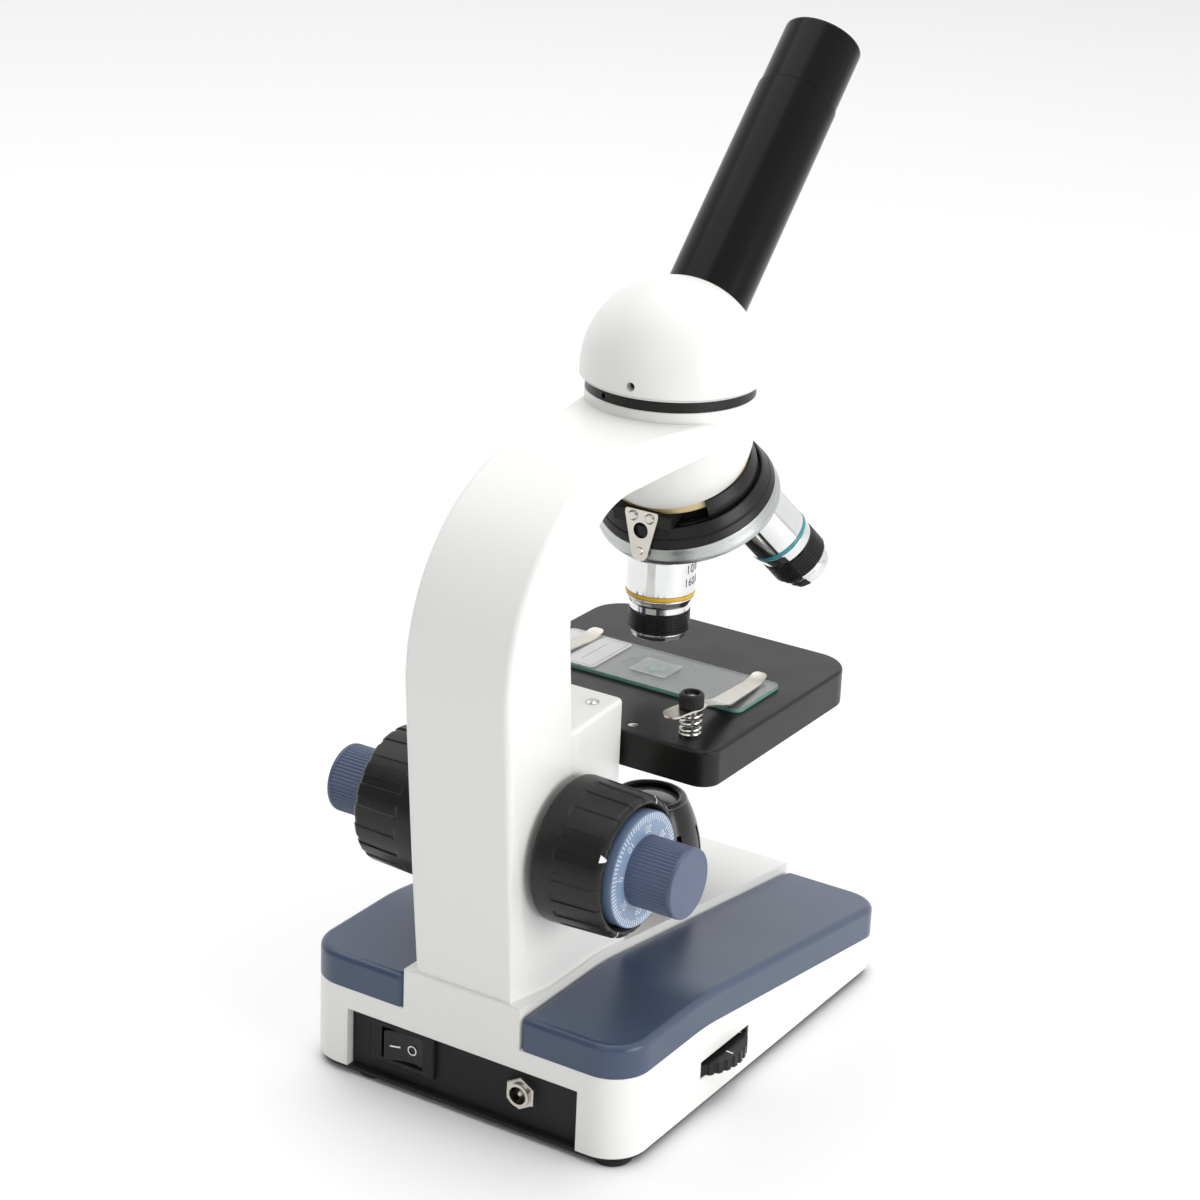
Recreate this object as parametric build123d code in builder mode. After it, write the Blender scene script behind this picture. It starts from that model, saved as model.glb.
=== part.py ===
from build123d import *

import os
from math import acos, cos, pi, radians, sin, tan

os.makedirs("parts", exist_ok=True)

# A monocular student microscope. +Z is up, the table is z = 0, the user sits at -Y and the
# arm stands at +Y. X = 0 is the plane of symmetry. All sizes are in millimetres.

# ---------------------------------------------------------------- driving dimensions
axis_y = -8.6  # the vertical optical axis
side_x = 56.8  # half the base's width
base_rear = axis_y + 102.0
base_front = axis_y - 56.8
base_corner = 12.0
base_wall = 2.9
shell_floor = 3.0  # lower rim of the white base
bend_y = axis_y + 58.0  # the top of the base is level behind this line and slopes down in front
slope = 0.1408  # drop of the sloping top per millimetre
bend_radius = 90.0
strip_half = 20.4  # half the width of the white strip between the covers
strip_z = 42.0  # level part of the strip
cover_z = 39.4  # level part of the covers' top
seat_z = 29.0  # level part of the ledge that the covers sit on
cover_skin = 2.2

panel_recess = 2.9
opening_half = 40.6
opening_top = 22.3

foot_radius = 6.0
plate_thickness = 1.2

knob_y = axis_y + 77.7  # the coarse and fine knobs share this axis, along X
knob_z = 83.9
rack_module = 0.8
pinion_teeth = 14
pinion_pitch_radius = rack_module * pinion_teeth / 2
coarse_down = 20.0  # stage travel below and above the stored position
coarse_up = 4.5
fine_travel = 0.5

housing_front = axis_y + 44.3
housing_top = 118.0
lid_screw_x = 10.0
lid_screw_y = axis_y + 53.0

stage_size = 90.0
stage_top = 107.2
stage_depth = 11.2
stage_mid_y = axis_y - 1.5

head_radius = 25.6
head_top = 198.9
head_ball_z = 187.0
ring_height = 3.4
dome_radius = 27.3
dome_inner = 24.0
dome_ball_z = 205.2
dome_floor = 202.5

tube_tilt = 43.3  # degrees from the vertical, towards the user
tube_start_z = 203.1
tube_radius = 12.8
tube_bore = 11.65
tube_seam = 98.5  # distances along the tube from the optical axis
tube_end = 120.3
eyepiece_radius = 12.4

turret_tilt = 25.1  # degrees between the turret's axis and the optical axis
head_cut = 17.0  # distance down the turret's axis of the face that the nosepiece seats on
meet_z = 190.06  # the turret's axis meets the optical axis here
shoulder = 43.2  # distance from that point to the seat of every objective

clip_x = 32.4
clip_y = axis_y + 34.1

slot_y = axis_y + 45.7
wheel_x = -43.4
wheel_radius = 18.5

# ---------------------------------------------------------------- shared planes and helpers
lean = radians(tube_tilt)
tilt = radians(turret_tilt)
meet = Vector(0, axis_y, meet_z)
turret_down = Vector(0, -sin(tilt), -cos(tilt))
turret_rear = Vector(0, cos(tilt), -sin(tilt))
tube_up = Vector(0, -sin(lean), cos(lean))
tube_start = Vector(0, axis_y, tube_start_z)
x_unit = Vector(1, 0, 0)


def axial_plane(origin, along, across):
    """A plane whose local y runs along an axis and whose local x is the radius from it."""
    return Plane(origin=origin, x_dir=across, z_dir=across.cross(along))


optical = axial_plane(Vector(0, axis_y, 0), Vector(0, 0, 1), x_unit)
turret = axial_plane(meet, turret_down, x_unit)
tube = axial_plane(tube_start, tube_up, x_unit)
knobs = axial_plane(Vector(0, knob_y, knob_z), x_unit, Vector(0, 1, 0))
turret_face = Plane(origin=meet, x_dir=x_unit, z_dir=turret_down)


def turn(plane, points, mode=Mode.ADD):
    """Revolve a half section of (radius, distance) points about the plane's local y axis."""
    with BuildSketch(plane) as section:
        with BuildLine():
            Polyline(*points, close=True)
        make_face()
    revolve(section.sketch, axis=Axis(plane.origin, plane.y_dir), mode=mode)


def ring(plane, inner, outer, start, end, mode=Mode.ADD):
    """A plain ring, or a disc where the inner radius is zero."""
    turn(plane, [(inner, start), (outer, start), (outer, end), (inner, end)], mode)


def vertical_axis(x, y):
    """The axial plane of a vertical screw, pin or foot."""
    return axial_plane(Vector(x, y, 0), Vector(0, 0, 1), x_unit)


def block(x_range, y_range, z_range, mode=Mode.ADD):
    """A box given by its limits on each axis."""
    size = [high - low for low, high in (x_range, y_range, z_range)]
    middle = [(high + low) / 2 for low, high in (x_range, y_range, z_range)]
    with Locations(tuple(middle)):
        Box(*size, mode=mode)


def sloping_cut(level_z, x_range):
    """Remove everything above a line that is level at the rear and slopes towards the user."""
    far_front = base_front - 10
    with BuildSketch(Plane.YZ.offset(x_range[0])) as above:
        with BuildLine():
            Polyline(
                (base_rear + 10, level_z),
                (bend_y, level_z),
                (far_front, level_z - slope * (bend_y - far_front)),
                (far_front, strip_z + 60),
                (base_rear + 10, strip_z + 60),
                close=True,
            )
        make_face()
        fillet(vertices().sort_by_distance((bend_y, level_z))[0], radius=bend_radius)
    extrude(above.sketch, amount=x_range[1] - x_range[0], mode=Mode.SUBTRACT)


def base_outline(inset):
    """The plan of the base, drawn inset from its outside."""
    with Locations((0, (base_rear + base_front) / 2)):
        RectangleRounded(
            2 * (side_x - inset), base_rear - base_front - 2 * inset, base_corner - inset
        )


def strip_height(y):
    """Height of the strip's top at a place along the base."""
    return strip_z - slope * max(0.0, bend_y - y)


def save(part, name):
    """Label a finished sub-part and write its STEP file."""
    part.label = name
    export_step(part, "parts/" + name + ".step")


# ---------------------------------------------------------------- base
wheel = vertical_axis(wheel_x, slot_y)
foot_places = [
    (-48.5, base_rear - 7.8),
    (34.8, base_rear - 7.6),
    (-47.5, base_front + 9.0),
    (47.5, base_front + 9.0),
]
boss_top = [
    strip_height(y) - (strip_z - seat_z) - cover_skin for x, y in foot_places
]
arm_bolt_places = [(-9.0, base_rear - 12.0), (9.0, base_rear - 12.0), (0.0, axis_y + 71.0)]
board_post_places = [(-20.0, axis_y + 16.0), (-20.0, axis_y + 76.0)]
board_top = 7.6
lamp_radius = 17.0

with BuildPart() as base_hollow:
    with BuildSketch(Plane.XY.offset(shell_floor)):
        base_outline(base_wall)
    extrude(amount=strip_z)
    for sign in (-1, 1):
        inner = sign * (strip_half - 2.5)
        outer = sign * (side_x + 5)
        sloping_cut(seat_z - cover_skin, (min(inner, outer), max(inner, outer)))
    sloping_cut(strip_z - 3.0, (-strip_half, strip_half))

with BuildPart() as base_shell:
    with BuildSketch(Plane.XY.offset(shell_floor)):
        base_outline(0)
    extrude(amount=strip_z)
    for sign in (-1, 1):
        inner = sign * strip_half
        outer = sign * (side_x + 5)
        sloping_cut(seat_z, (min(inner, outer), max(inner, outer)))
    sloping_cut(strip_z, (-strip_half - 1, strip_half + 1))
    add(base_hollow.part, mode=Mode.SUBTRACT)
    # the opening of the rear panel
    block(
        (-opening_half, opening_half),
        (base_rear - 4, base_rear + 2),
        (shell_floor - 1, opening_top),
        Mode.SUBTRACT,
    )
    # the slot of the brightness wheel
    block(
        (-side_x - 2, -side_x + 1),
        (slot_y - 14, slot_y + 14),
        (11.9, 17.6),
        Mode.SUBTRACT,
    )
    ring(wheel, 0, wheel_radius + 0.7, 11.9, 17.6, Mode.SUBTRACT)
    # bosses for the foot screws, and posts that hold the driver board
    for (x, y), top in zip(foot_places, boss_top):
        ring(vertical_axis(x, y), 1.25, 2.6, shell_floor, top + 0.5)
    for x, y in board_post_places:
        ring(vertical_axis(x, y), 0, 2.5, board_top, strip_height(y) - 15.0)
    # holes for the arm bolts and for the lamp's stem
    for x, y in arm_bolt_places:
        ring(vertical_axis(x, y), 0, 2.6, 30.0, 45.0, Mode.SUBTRACT)
    ring(optical, 0, 6.0, 25.0, 45.0, Mode.SUBTRACT)
save(base_shell.part, "base_shell")

with BuildPart() as cover_hollow:
    with BuildSketch(Plane.XY.offset(8)):
        with Locations((-(side_x + strip_half) / 2, (base_rear + base_front) / 2)):
            RectangleRounded(
                side_x - strip_half - 2 * cover_skin - 0.2,
                base_rear - base_front - 2 * cover_skin,
                base_corner - cover_skin - 4,
            )
    extrude(amount=35)
    sloping_cut(cover_z - cover_skin, (-side_x - 5, 0))

with BuildPart() as left_cover:
    with BuildSketch(Plane.XY.offset(8)):
        with Locations((-(side_x + strip_half + 0.15) / 2, (base_rear + base_front) / 2)):
            Rectangle(side_x - strip_half - 0.15, base_rear - base_front)
        fillet(vertices().group_by(Axis.X)[0], radius=base_corner)
        fillet(vertices().group_by(Axis.X)[-1], radius=2.5)
    extrude(amount=35)
    sloping_cut(cover_z, (-side_x - 5, 0))
    top_faces = faces().filter_by(lambda face: face.normal_at().Z > 0.9)
    rim = top_faces.edges().filter_by(
        lambda edge: sum(edge in face.edges() for face in top_faces) == 1
    )
    fillet(rim, radius=2.2)
    # everything under the ledge line belongs to the base
    with BuildSketch(Plane.YZ.offset(-side_x - 5)):
        with BuildLine():
            Polyline(
                (base_rear + 10, seat_z),
                (bend_y, seat_z),
                (base_front - 10, seat_z - slope * (bend_y - base_front + 10)),
                (base_front - 10, 0),
                (base_rear + 10, 0),
                close=True,
            )
        make_face()
        fillet(vertices().sort_by_distance((bend_y, seat_z))[0], radius=bend_radius)
    extrude(amount=side_x + 5, mode=Mode.SUBTRACT)
    add(cover_hollow.part, mode=Mode.SUBTRACT)

with BuildPart() as side_covers:
    add(left_cover.part)
    mirror(left_cover.part, about=Plane.YZ)
save(side_covers.part, "side_covers")

with BuildPart() as bottom_plate:
    with BuildSketch(Plane.XY.offset(shell_floor - plate_thickness)):
        base_outline(0.7)
        with Locations(*foot_places):
            Circle(1.6, mode=Mode.SUBTRACT)
    extrude(amount=plate_thickness)
save(bottom_plate.part, "bottom_plate")

with BuildPart() as rubber_feet:
    for x, y in foot_places:
        turn(
            vertical_axis(x, y),
            [(3.0, 0), (foot_radius - 0.5, 0), (foot_radius, 0.5),
             (foot_radius, shell_floor - plate_thickness),
             (1.6, shell_floor - plate_thickness), (1.6, 1.2), (3.0, 1.2)],
        )
save(rubber_feet.part, "rubber_feet")

switch_x = 21.4
switch_z = 14.65
jack_x = -20.7
jack_z = 14.2
panel_face = base_rear - panel_recess
panel_back = panel_face - 2.0
jack = axial_plane(Vector(jack_x, panel_face, jack_z), Vector(0, 1, 0), x_unit)

with BuildPart() as rear_panel:
    with BuildSketch(Plane(origin=(0, panel_face, 0), x_dir=(1, 0, 0), z_dir=(0, -1, 0))):
        with Locations((0, 14.6)):
            Rectangle(2 * opening_half + 5, 2 * 11.5)
        with Locations((switch_x, switch_z)):
            Rectangle(19.2, 12.8, mode=Mode.SUBTRACT)
        with Locations((jack_x, jack_z)):
            Circle(3.8, mode=Mode.SUBTRACT)
    extrude(amount=panel_face - panel_back)
save(rear_panel.part, "rear_panel")

rocker_half = 7.1
rocker_high = 4.9
rocker_axis_y = panel_face - 2.4
with BuildPart() as switch_housing:
    block(
        (switch_x - 11.3, switch_x + 11.3),
        (panel_face, panel_face + 1.8),
        (switch_z - 7.0, switch_z + 7.0),
    )
    fillet(faces().sort_by(Axis.Y)[-1].edges(), radius=0.8)
    block(
        (switch_x - 9.5, switch_x + 9.5),
        (panel_back - 11, panel_face + 0.5),
        (switch_z - 6.3, switch_z + 6.3),
    )
    block(
        (switch_x - rocker_half - 0.35, switch_x + rocker_half + 0.35),
        (panel_back - 9, panel_face + 3),
        (switch_z - rocker_high - 0.25, switch_z + rocker_high + 0.25),
        Mode.SUBTRACT,
    )
    ring(vertical_axis(switch_x, rocker_axis_y), 0, 1.05,
         switch_z - rocker_high - 1.2, switch_z + rocker_high + 1.2, Mode.SUBTRACT)
save(switch_housing.part, "switch_housing")

rocker_rest = 9.0  # the rocker is stored with its -X side pressed in
rocker_plane = Plane(
    origin=(switch_x, rocker_axis_y, switch_z - rocker_high),
    x_dir=(cos(radians(rocker_rest)), sin(radians(rocker_rest)), 0),
    z_dir=(0, 0, 1),
)
with BuildPart() as power_rocker:
    with BuildSketch(rocker_plane):
        with BuildLine():
            Polyline(
                (-rocker_half + 0.6, 4.6),
                (0, 3.4),
                (rocker_half - 0.6, 4.6),
                (rocker_half - 0.6, 0.5),
                (3.0, -3.0),
                (-3.0, -3.0),
                (-rocker_half + 0.6, 0.5),
                close=True,
            )
        make_face()
    extrude(amount=2 * rocker_high)
    ring(vertical_axis(switch_x, rocker_axis_y), 0, 1.0,
         switch_z - rocker_high - 1.0, switch_z + rocker_high + 1.0)
save(power_rocker.part, "power_rocker")

with BuildPart() as dc_jack:
    turn(jack, [(2.8, 3.4), (3.7, 3.4), (3.7, -2.0), (5.0, -2.0), (5.0, -12.0), (0, -12.0),
                (0, -6.5), (2.8, -6.5)])
    turn(jack, [(0, -6.6), (1.0, -6.6), (1.0, 1.6), (0.6, 2.2), (0, 2.2)])
save(dc_jack.part, "dc_jack")

with BuildPart() as jack_nut:
    with BuildSketch(Plane(origin=(jack_x, panel_face, jack_z), x_dir=(1, 0, 0),
                           z_dir=(0, 1, 0))):
        RegularPolygon(radius=5.3, side_count=6, rotation=30)
        Circle(3.7, mode=Mode.SUBTRACT)
    extrude(amount=2.4)
    chamfer(faces().sort_by(Axis.Y)[-1].outer_wire().edges(), length=0.35)
save(jack_nut.part, "jack_nut")

with BuildPart() as driver_board:
    block((-53, -12), (axis_y + 12, axis_y + 82), (board_top - 1.6, board_top))
    block(
        (wheel_x - 6, wheel_x + 6),
        (slot_y - 6, slot_y + 6),
        (board_top, board_top + 3.6),
    )
    ring(wheel, 0, 3.0, board_top + 3.5, 16.4)
    block((-22, -15), (axis_y + 34, axis_y + 42), (board_top, board_top + 9))
    ring(vertical_axis(-24, axis_y + 66), 0, 4.0, board_top, board_top + 11)
save(driver_board.part, "driver_board")

with BuildPart() as brightness_wheel:
    ring(wheel, 3.05, wheel_radius, 12.3, 15.9)
    with Locations((wheel_x, slot_y, 14.1)):
        with PolarLocations(wheel_radius + 0.3, 36):
            Cylinder(0.9, 5, mode=Mode.SUBTRACT)
save(brightness_wheel.part, "brightness_wheel")

# ---------------------------------------------------------------- lamp
lamp_top = 66.0
with BuildPart() as lamp_housing:
    with BuildSketch(optical):
        with BuildLine():
            Polyline((lamp_radius, lamp_top - 21), (lamp_radius, 26), (0, 26), (0, lamp_top),
                     (10.8, lamp_top), (11.8, lamp_top - 1))
            ThreePointArc(
                (11.8, lamp_top - 1), (15.2, lamp_top - 9), (lamp_radius, lamp_top - 21)
            )
        make_face()
    revolve(axis=Axis(optical.origin, optical.y_dir))
    # the hollow for the LED and lens
    ring(optical, 0, 9.2, lamp_top - 3.2, lamp_top + 1, Mode.SUBTRACT)
    ring(optical, 0, 7.0, 46.0, lamp_top - 3, Mode.SUBTRACT)
    ring(optical, 0, 14.0, 20.0, 46.0, Mode.SUBTRACT)
    # cooling slots on the two sides
    for turn_by in (20, 40, 60, 120, 140, 160, 200, 220, 240, 300, 320, 340):
        angle = radians(turn_by)
        slot_place = Plane(
            origin=(18 * cos(angle), axis_y + 18 * sin(angle), 53),
            z_dir=(cos(angle), sin(angle), 0),
        )
        with BuildSketch(slot_place):
            Rectangle(1.8, 9)
        extrude(amount=-5.0, mode=Mode.SUBTRACT)
    # the foot follows the slope of the base
    with BuildSketch(Plane.YZ.offset(-25)):
        with BuildLine():
            Polyline(
                (bend_y + 1, strip_z - slope * -1),
                (base_front, strip_height(base_front)),
                (base_front, 0),
                (bend_y + 1, 0),
                close=True,
            )
        make_face()
    extrude(amount=50, mode=Mode.SUBTRACT)
save(lamp_housing.part, "lamp_housing")

with BuildPart() as lamp_lens:
    with BuildSketch(optical):
        with BuildLine():
            Polyline((9.1, lamp_top - 1.5), (9.1, lamp_top - 3.2), (0, lamp_top - 3.2),
                     (0, lamp_top - 0.3))
            ThreePointArc((0, lamp_top - 0.3), (5, lamp_top - 0.65), (9.1, lamp_top - 1.5))
        make_face()
    revolve(axis=Axis(optical.origin, optical.y_dir))
save(lamp_lens.part, "lamp_lens")

with BuildPart() as led_board:
    ring(optical, 0, 13.8, 44.4, 46.0)
    ring(optical, 0, 2.5, 46.0, 47.2)
    with Locations((0, axis_y, 47.2)):
        Sphere(2.2, arc_size1=0)
save(led_board.part, "led_board")

# ---------------------------------------------------------------- arm
leg_rear_foot = axis_y + 101.2
arch_y = axis_y + 51.0
arch_z = 137.8
arch_radius = 57.9
throat_y = axis_y + 46.5
throat_z = 151.5
throat_radius = 32.0
back_lean = radians(4.7)
front_lean = radians(5.5)


def on_circle(centre, radius, angle):
    """A point on a circle, with the angle in radians from the local x axis."""
    return (centre[0] + radius * cos(angle), centre[1] + radius * sin(angle))


arch = (arch_y, arch_z)
throat = (throat_y, throat_z)
rear_tangent = on_circle(arch, arch_radius, -back_lean)
front_tangent = on_circle(throat, throat_radius, -front_lean)
leg_front_foot = front_tangent[0] - (front_tangent[1] - 60) * tan(front_lean)
arm_top = arch_z + arch_radius
head_y = axis_y + 6.5
arm_edge_radius = 2.2
foot_half = 19.7
foot_spread_top = 61.0
facet_top = Vector(17.8, axis_y + 96.6, 60.0)
facet_front = Vector(19.4, axis_y + 84.8, 42.0)
facet_rear = Vector(16.4, axis_y + 100.5, 42.0)
facet_out = (facet_front - facet_top).cross(facet_rear - facet_top)
corner_facets = [
    Plane(origin=facet_top, z_dir=facet_out),
    Plane(
        origin=(-facet_top.X, facet_top.Y, facet_top.Z),
        z_dir=(-facet_out.X, facet_out.Y, facet_out.Z),
    ),
]

with BuildPart() as arm_plan:
    with BuildSketch(Plane.XY.offset(30)):
        with BuildLine():
            Polyline(
                (18.3, axis_y + 125),
                (-18.3, axis_y + 125),
                (-17.2, axis_y + 62),
            )
            Spline(
                (-17.2, axis_y + 62),
                (-19.4, axis_y + 36),
                (-24.3, axis_y + 8),
                tangents=[(-0.02, -1), (-0.3, -1)],
            )
            Polyline(
                (-24.3, axis_y + 8),
                (-24.0, axis_y + 6),
                (24.0, axis_y + 6),
                (24.3, axis_y + 8),
            )
            Spline(
                (24.3, axis_y + 8),
                (19.4, axis_y + 36),
                (17.2, axis_y + 62),
                tangents=[(-0.3, 1), (-0.02, 1)],
            )
            Line((17.2, axis_y + 62), (18.3, axis_y + 125))
        make_face()
    extrude(amount=180)

# the focus housing in front of the leg
with BuildPart() as focus_housing:
    with BuildSketch(Plane.XY.offset(strip_z - 4)):
        with BuildLine():
            Polyline(
                (-15.6, housing_front),
                (15.6, housing_front),
                (17.3, axis_y + 71),
                (17.0, axis_y + 82),
                (-17.0, axis_y + 82),
                (-17.3, axis_y + 71),
                close=True,
            )
        make_face()
        fillet(vertices().group_by(Axis.Y)[0], radius=2.0)
    extrude(amount=housing_top - strip_z + 4)
    fillet(faces().sort_by(Axis.Z)[-1].edges(), radius=1.4)

# the head: a cylinder with a ball end, cut square to the turret's axis
with BuildPart() as head_ball:
    with BuildSketch(optical):
        with BuildLine():
            Polyline(
                (0, head_ball_z - head_radius),
                (0, head_top),
                (head_radius, head_top),
                (head_radius, head_ball_z),
            )
            CenterArc((0, head_ball_z), head_radius, -90, 90)
        make_face()
    revolve(axis=Axis(optical.origin, optical.y_dir))
    split(bisect_by=turret_face.offset(head_cut), keep=Keep.BOTTOM)

with BuildPart() as arm:
    with BuildSketch(Plane.YZ):
        with BuildLine():
            Line((leg_rear_foot, strip_z), rear_tangent)
            ThreePointArc(
                rear_tangent,
                on_circle(arch, arch_radius, pi / 4),
                (arch_y, arm_top),
            )
            Polyline(
                (arch_y, arm_top),
                (head_y, arm_top),
                (head_y, throat_z + throat_radius + 3.5),
                (throat_y, throat_z + throat_radius),
            )
            ThreePointArc(
                (throat_y, throat_z + throat_radius),
                on_circle(throat, throat_radius, pi / 4),
                front_tangent,
            )
            Polyline(
                front_tangent,
                (leg_front_foot, 60),
                (leg_front_foot, strip_z),
                (leg_rear_foot, strip_z),
            )
        make_face()
    extrude(amount=30, both=True)
    add(arm_plan.part, mode=Mode.INTERSECT)
    soft_edges = edges().filter_by(
        lambda edge: abs(edge.center().X) > 14
        and edge.length > 20
        and (
            edge.center().Y > axis_y + 85
            or (edge.center().Z > 187 and edge.center().Y > axis_y + 12)
        )
    )
    fillet(soft_edges, radius=arm_edge_radius)
    add(focus_housing.part)
    # the foot spreads almost to the edges of the strip
    with BuildSketch(Plane.XZ.offset(-housing_front)):
        with BuildLine():
            Polyline(
                (-foot_half, strip_z - 4),
                (foot_half, strip_z - 4),
                (foot_half - 0.4, strip_z + 1),
                (foot_half - 2.4, foot_spread_top),
                (2.4 - foot_half, foot_spread_top),
                (0.4 - foot_half, strip_z + 1),
                close=True,
            )
        make_face()
    extrude(amount=housing_front - leg_rear_foot)
    # a flat facet on each side takes the foot's rear corners in
    for corner_facet in corner_facets:
        split(bisect_by=corner_facet, keep=Keep.BOTTOM)
    # the foot's underside follows the base
    with BuildSketch(Plane.YZ.offset(-30)):
        with BuildLine():
            Polyline(
                (base_rear + 20, strip_z),
                (bend_y, strip_z),
                (base_front, strip_height(base_front)),
                (base_front, 10),
                (base_rear + 20, 10),
                close=True,
            )
        make_face()
        fillet(vertices().sort_by_distance((bend_y, strip_z))[0], radius=bend_radius)
    extrude(amount=60, mode=Mode.SUBTRACT)
    add(head_ball.part)
    # the socket for the dome, the light path, and the turret bolt's hole
    ring(optical, 0, 19.0, 188.0, 210.0, Mode.SUBTRACT)
    ring(optical, 0, 3.4, 160.0, 190.0, Mode.SUBTRACT)
    ring(turret, 0, 2.0, 14.0, 30.0, Mode.SUBTRACT)
    # the shaft that holds rack, slide and pinion
    block((-10.3, 10.3), (axis_y + 47.5, axis_y + 74.0), (50, 112), Mode.SUBTRACT)
    block((-8.3, 8.3), (axis_y + 40, axis_y + 50), (52, 102.5), Mode.SUBTRACT)
    block((-8.5, 8.5), (axis_y + 70, knob_y + 9), (knob_z - 9, knob_z + 9), Mode.SUBTRACT)
    ring(knobs, 0, 6.0, -30, 30, Mode.SUBTRACT)
    for x, y in arm_bolt_places:
        ring(vertical_axis(x, y), 0, 2.0, 30, strip_z + 6.5, Mode.SUBTRACT)
    for x in (-lid_screw_x, lid_screw_x):
        ring(vertical_axis(x, lid_screw_y), 0, 1.1, 114, 130, Mode.SUBTRACT)
save(arm.part, "arm")

with BuildPart() as base_screws:
    for (x, y), top in zip(foot_places, boss_top):
        turn(
            vertical_axis(x, y),
            [(0, 0.3), (2.6, 0.3), (2.6, 1.2), (1.2, 1.2), (1.2, top - 1), (0, top - 1)],
        )
    for x, y in arm_bolt_places:
        seat = strip_height(y) - 3.0
        turn(
            vertical_axis(x, y),
            [(0, seat - 3.2), (4.0, seat - 3.2), (4.0, seat), (1.95, seat),
             (1.95, strip_z + 6), (0, strip_z + 6)],
        )
save(base_screws.part, "base_screws")

bush_face = 17.65
with BuildPart() as focus_bearings:
    for sign in (-1, 1):
        # a bush for the coarse shaft
        turn(
            knobs,
            [(4.06, sign * 9.0), (6.0, sign * 9.0), (6.0, sign * bush_face),
             (9.0, sign * bush_face), (9.0, sign * 19.6), (4.06, sign * 19.6)],
        )
        # a guide rail for the focus slide
        x_range = (sign * 8.3, sign * 10.3)
        block(
            (min(x_range), max(x_range)),
            (axis_y + 62.0, axis_y + 66.0),
            (50.5, 111.5),
        )
save(focus_bearings.part, "focus_bearings")

# ---------------------------------------------------------------- focusing parts
rack_tip_y = knob_y - pinion_pitch_radius + rack_module
rack_root_y = rack_tip_y - 2.1 * rack_module
pitch = pi * rack_module
tooth_gap = 0.12  # clearance on each flank

with BuildPart() as focus_slide:
    block((-8.0, 8.0), (axis_y + 60.0, rack_root_y), (72, 104))
    for sign in (-1, 1):
        x_range = (sign * 6.4, sign * 9.0)
        block(
            (min(x_range), max(x_range)),
            (axis_y + 61.95, axis_y + 66.05),
            (71, 105),
            Mode.SUBTRACT,
        )
    block((-3.0, 3.0), (axis_y + 52.0, axis_y + 60.5), (72, 104))
    rack_count = 12
    with BuildSketch(Plane.YZ.offset(-4)):
        for index in range(rack_count):
            middle_z = knob_z + (index - 5) * pitch
            root = pitch / 4 + rack_module * 1.1 * tan(radians(20)) - tooth_gap
            tip = pitch / 4 - rack_module * tan(radians(20)) - tooth_gap
            with BuildLine():
                Polyline(
                    (rack_root_y - 0.3, middle_z - root),
                    (rack_tip_y - 0.1, middle_z - tip),
                    (rack_tip_y - 0.1, middle_z + tip),
                    (rack_root_y - 0.3, middle_z + root),
                    close=True,
                )
            make_face()
    extrude(amount=8)
save(focus_slide.part, "focus_slide")


pressure_angle = radians(20)
pinion_base_radius = pinion_pitch_radius * cos(pressure_angle)
pinion_tip_radius = pinion_pitch_radius + 0.9 * rack_module
pinion_root_radius = pinion_pitch_radius - 1.15 * rack_module


def half_tooth(radius):
    """Half the angle that a pinion tooth takes up at a radius."""
    at_pitch = pi / (2 * pinion_teeth) - tooth_gap / pinion_pitch_radius
    angle = acos(pinion_base_radius / radius)
    return at_pitch + tan(pressure_angle) - pressure_angle - (tan(angle) - angle)


with BuildPart() as coarse_shaft:
    with BuildSketch(Plane.YZ.offset(-7)):
        with Locations((knob_y, knob_z)):
            Circle(pinion_pitch_radius - 1.15 * rack_module)
        for tooth in range(pinion_teeth):
            # a gap of the pinion faces a rack tooth
            middle = pi + (tooth + 0.5) * 2 * pi / pinion_teeth
            pinion = (knob_y, knob_z)
            span = pinion_tip_radius - pinion_base_radius
            radii = [pinion_base_radius + span * step / 4 for step in range(5)]
            left = [on_circle(pinion, r, middle + half_tooth(r)) for r in radii]
            right = [on_circle(pinion, r, middle - half_tooth(r)) for r in radii]
            spread = half_tooth(pinion_base_radius)
            foot_left = on_circle(pinion, pinion_root_radius - 0.3, middle + spread)
            foot_right = on_circle(pinion, pinion_root_radius - 0.3, middle - spread)
            with BuildLine():
                Polyline(foot_left, *left, *reversed(right), foot_right, close=True)
            make_face()
    extrude(amount=14)
    ring(knobs, 0, 4.0, -34, 34)
    ring(knobs, 0, 2.56, -40, 40, Mode.SUBTRACT)
save(coarse_shaft.part, "coarse_shaft")

coarse_inner = 20.0
coarse_outer = 42.4
with BuildPart() as left_coarse_knob:
    turn(
        knobs,
        [(4.03, -coarse_inner), (21.2, -coarse_inner), (22.0, -coarse_inner - 1.2),
         (21.0, -coarse_outer + 1.0), (20.0, -coarse_outer), (18.2, -coarse_outer),
         (18.2, -37.0), (4.03, -37.0)],
    )
    ring(knobs, 9.0, 18.0, -27.0, -15.0, Mode.SUBTRACT)
    for rib in range(24):
        angle = radians(rib * 15)
        groove = Plane(
            origin=(-24.5, knob_y + 22.4 * cos(angle), knob_z + 22.4 * sin(angle)),
            x_dir=(1, 0, 0),
            z_dir=(0, cos(angle), sin(angle)),
        )
        with BuildSketch(groove):
            with Locations((-7.5, 0)):
                Rectangle(15.0, 1.5)
        extrude(amount=-1.6, mode=Mode.SUBTRACT)

with BuildPart() as coarse_knobs:
    add(left_coarse_knob.part)
    mirror(left_coarse_knob.part, about=Plane.YZ)
save(coarse_knobs.part, "coarse_knobs")

fine_end = 59.6
fine_radius = 10.45
with BuildPart() as fine_shaft:
    ring(knobs, 0, 2.5, -54, 54)
save(fine_shaft.part, "fine_shaft")

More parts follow.
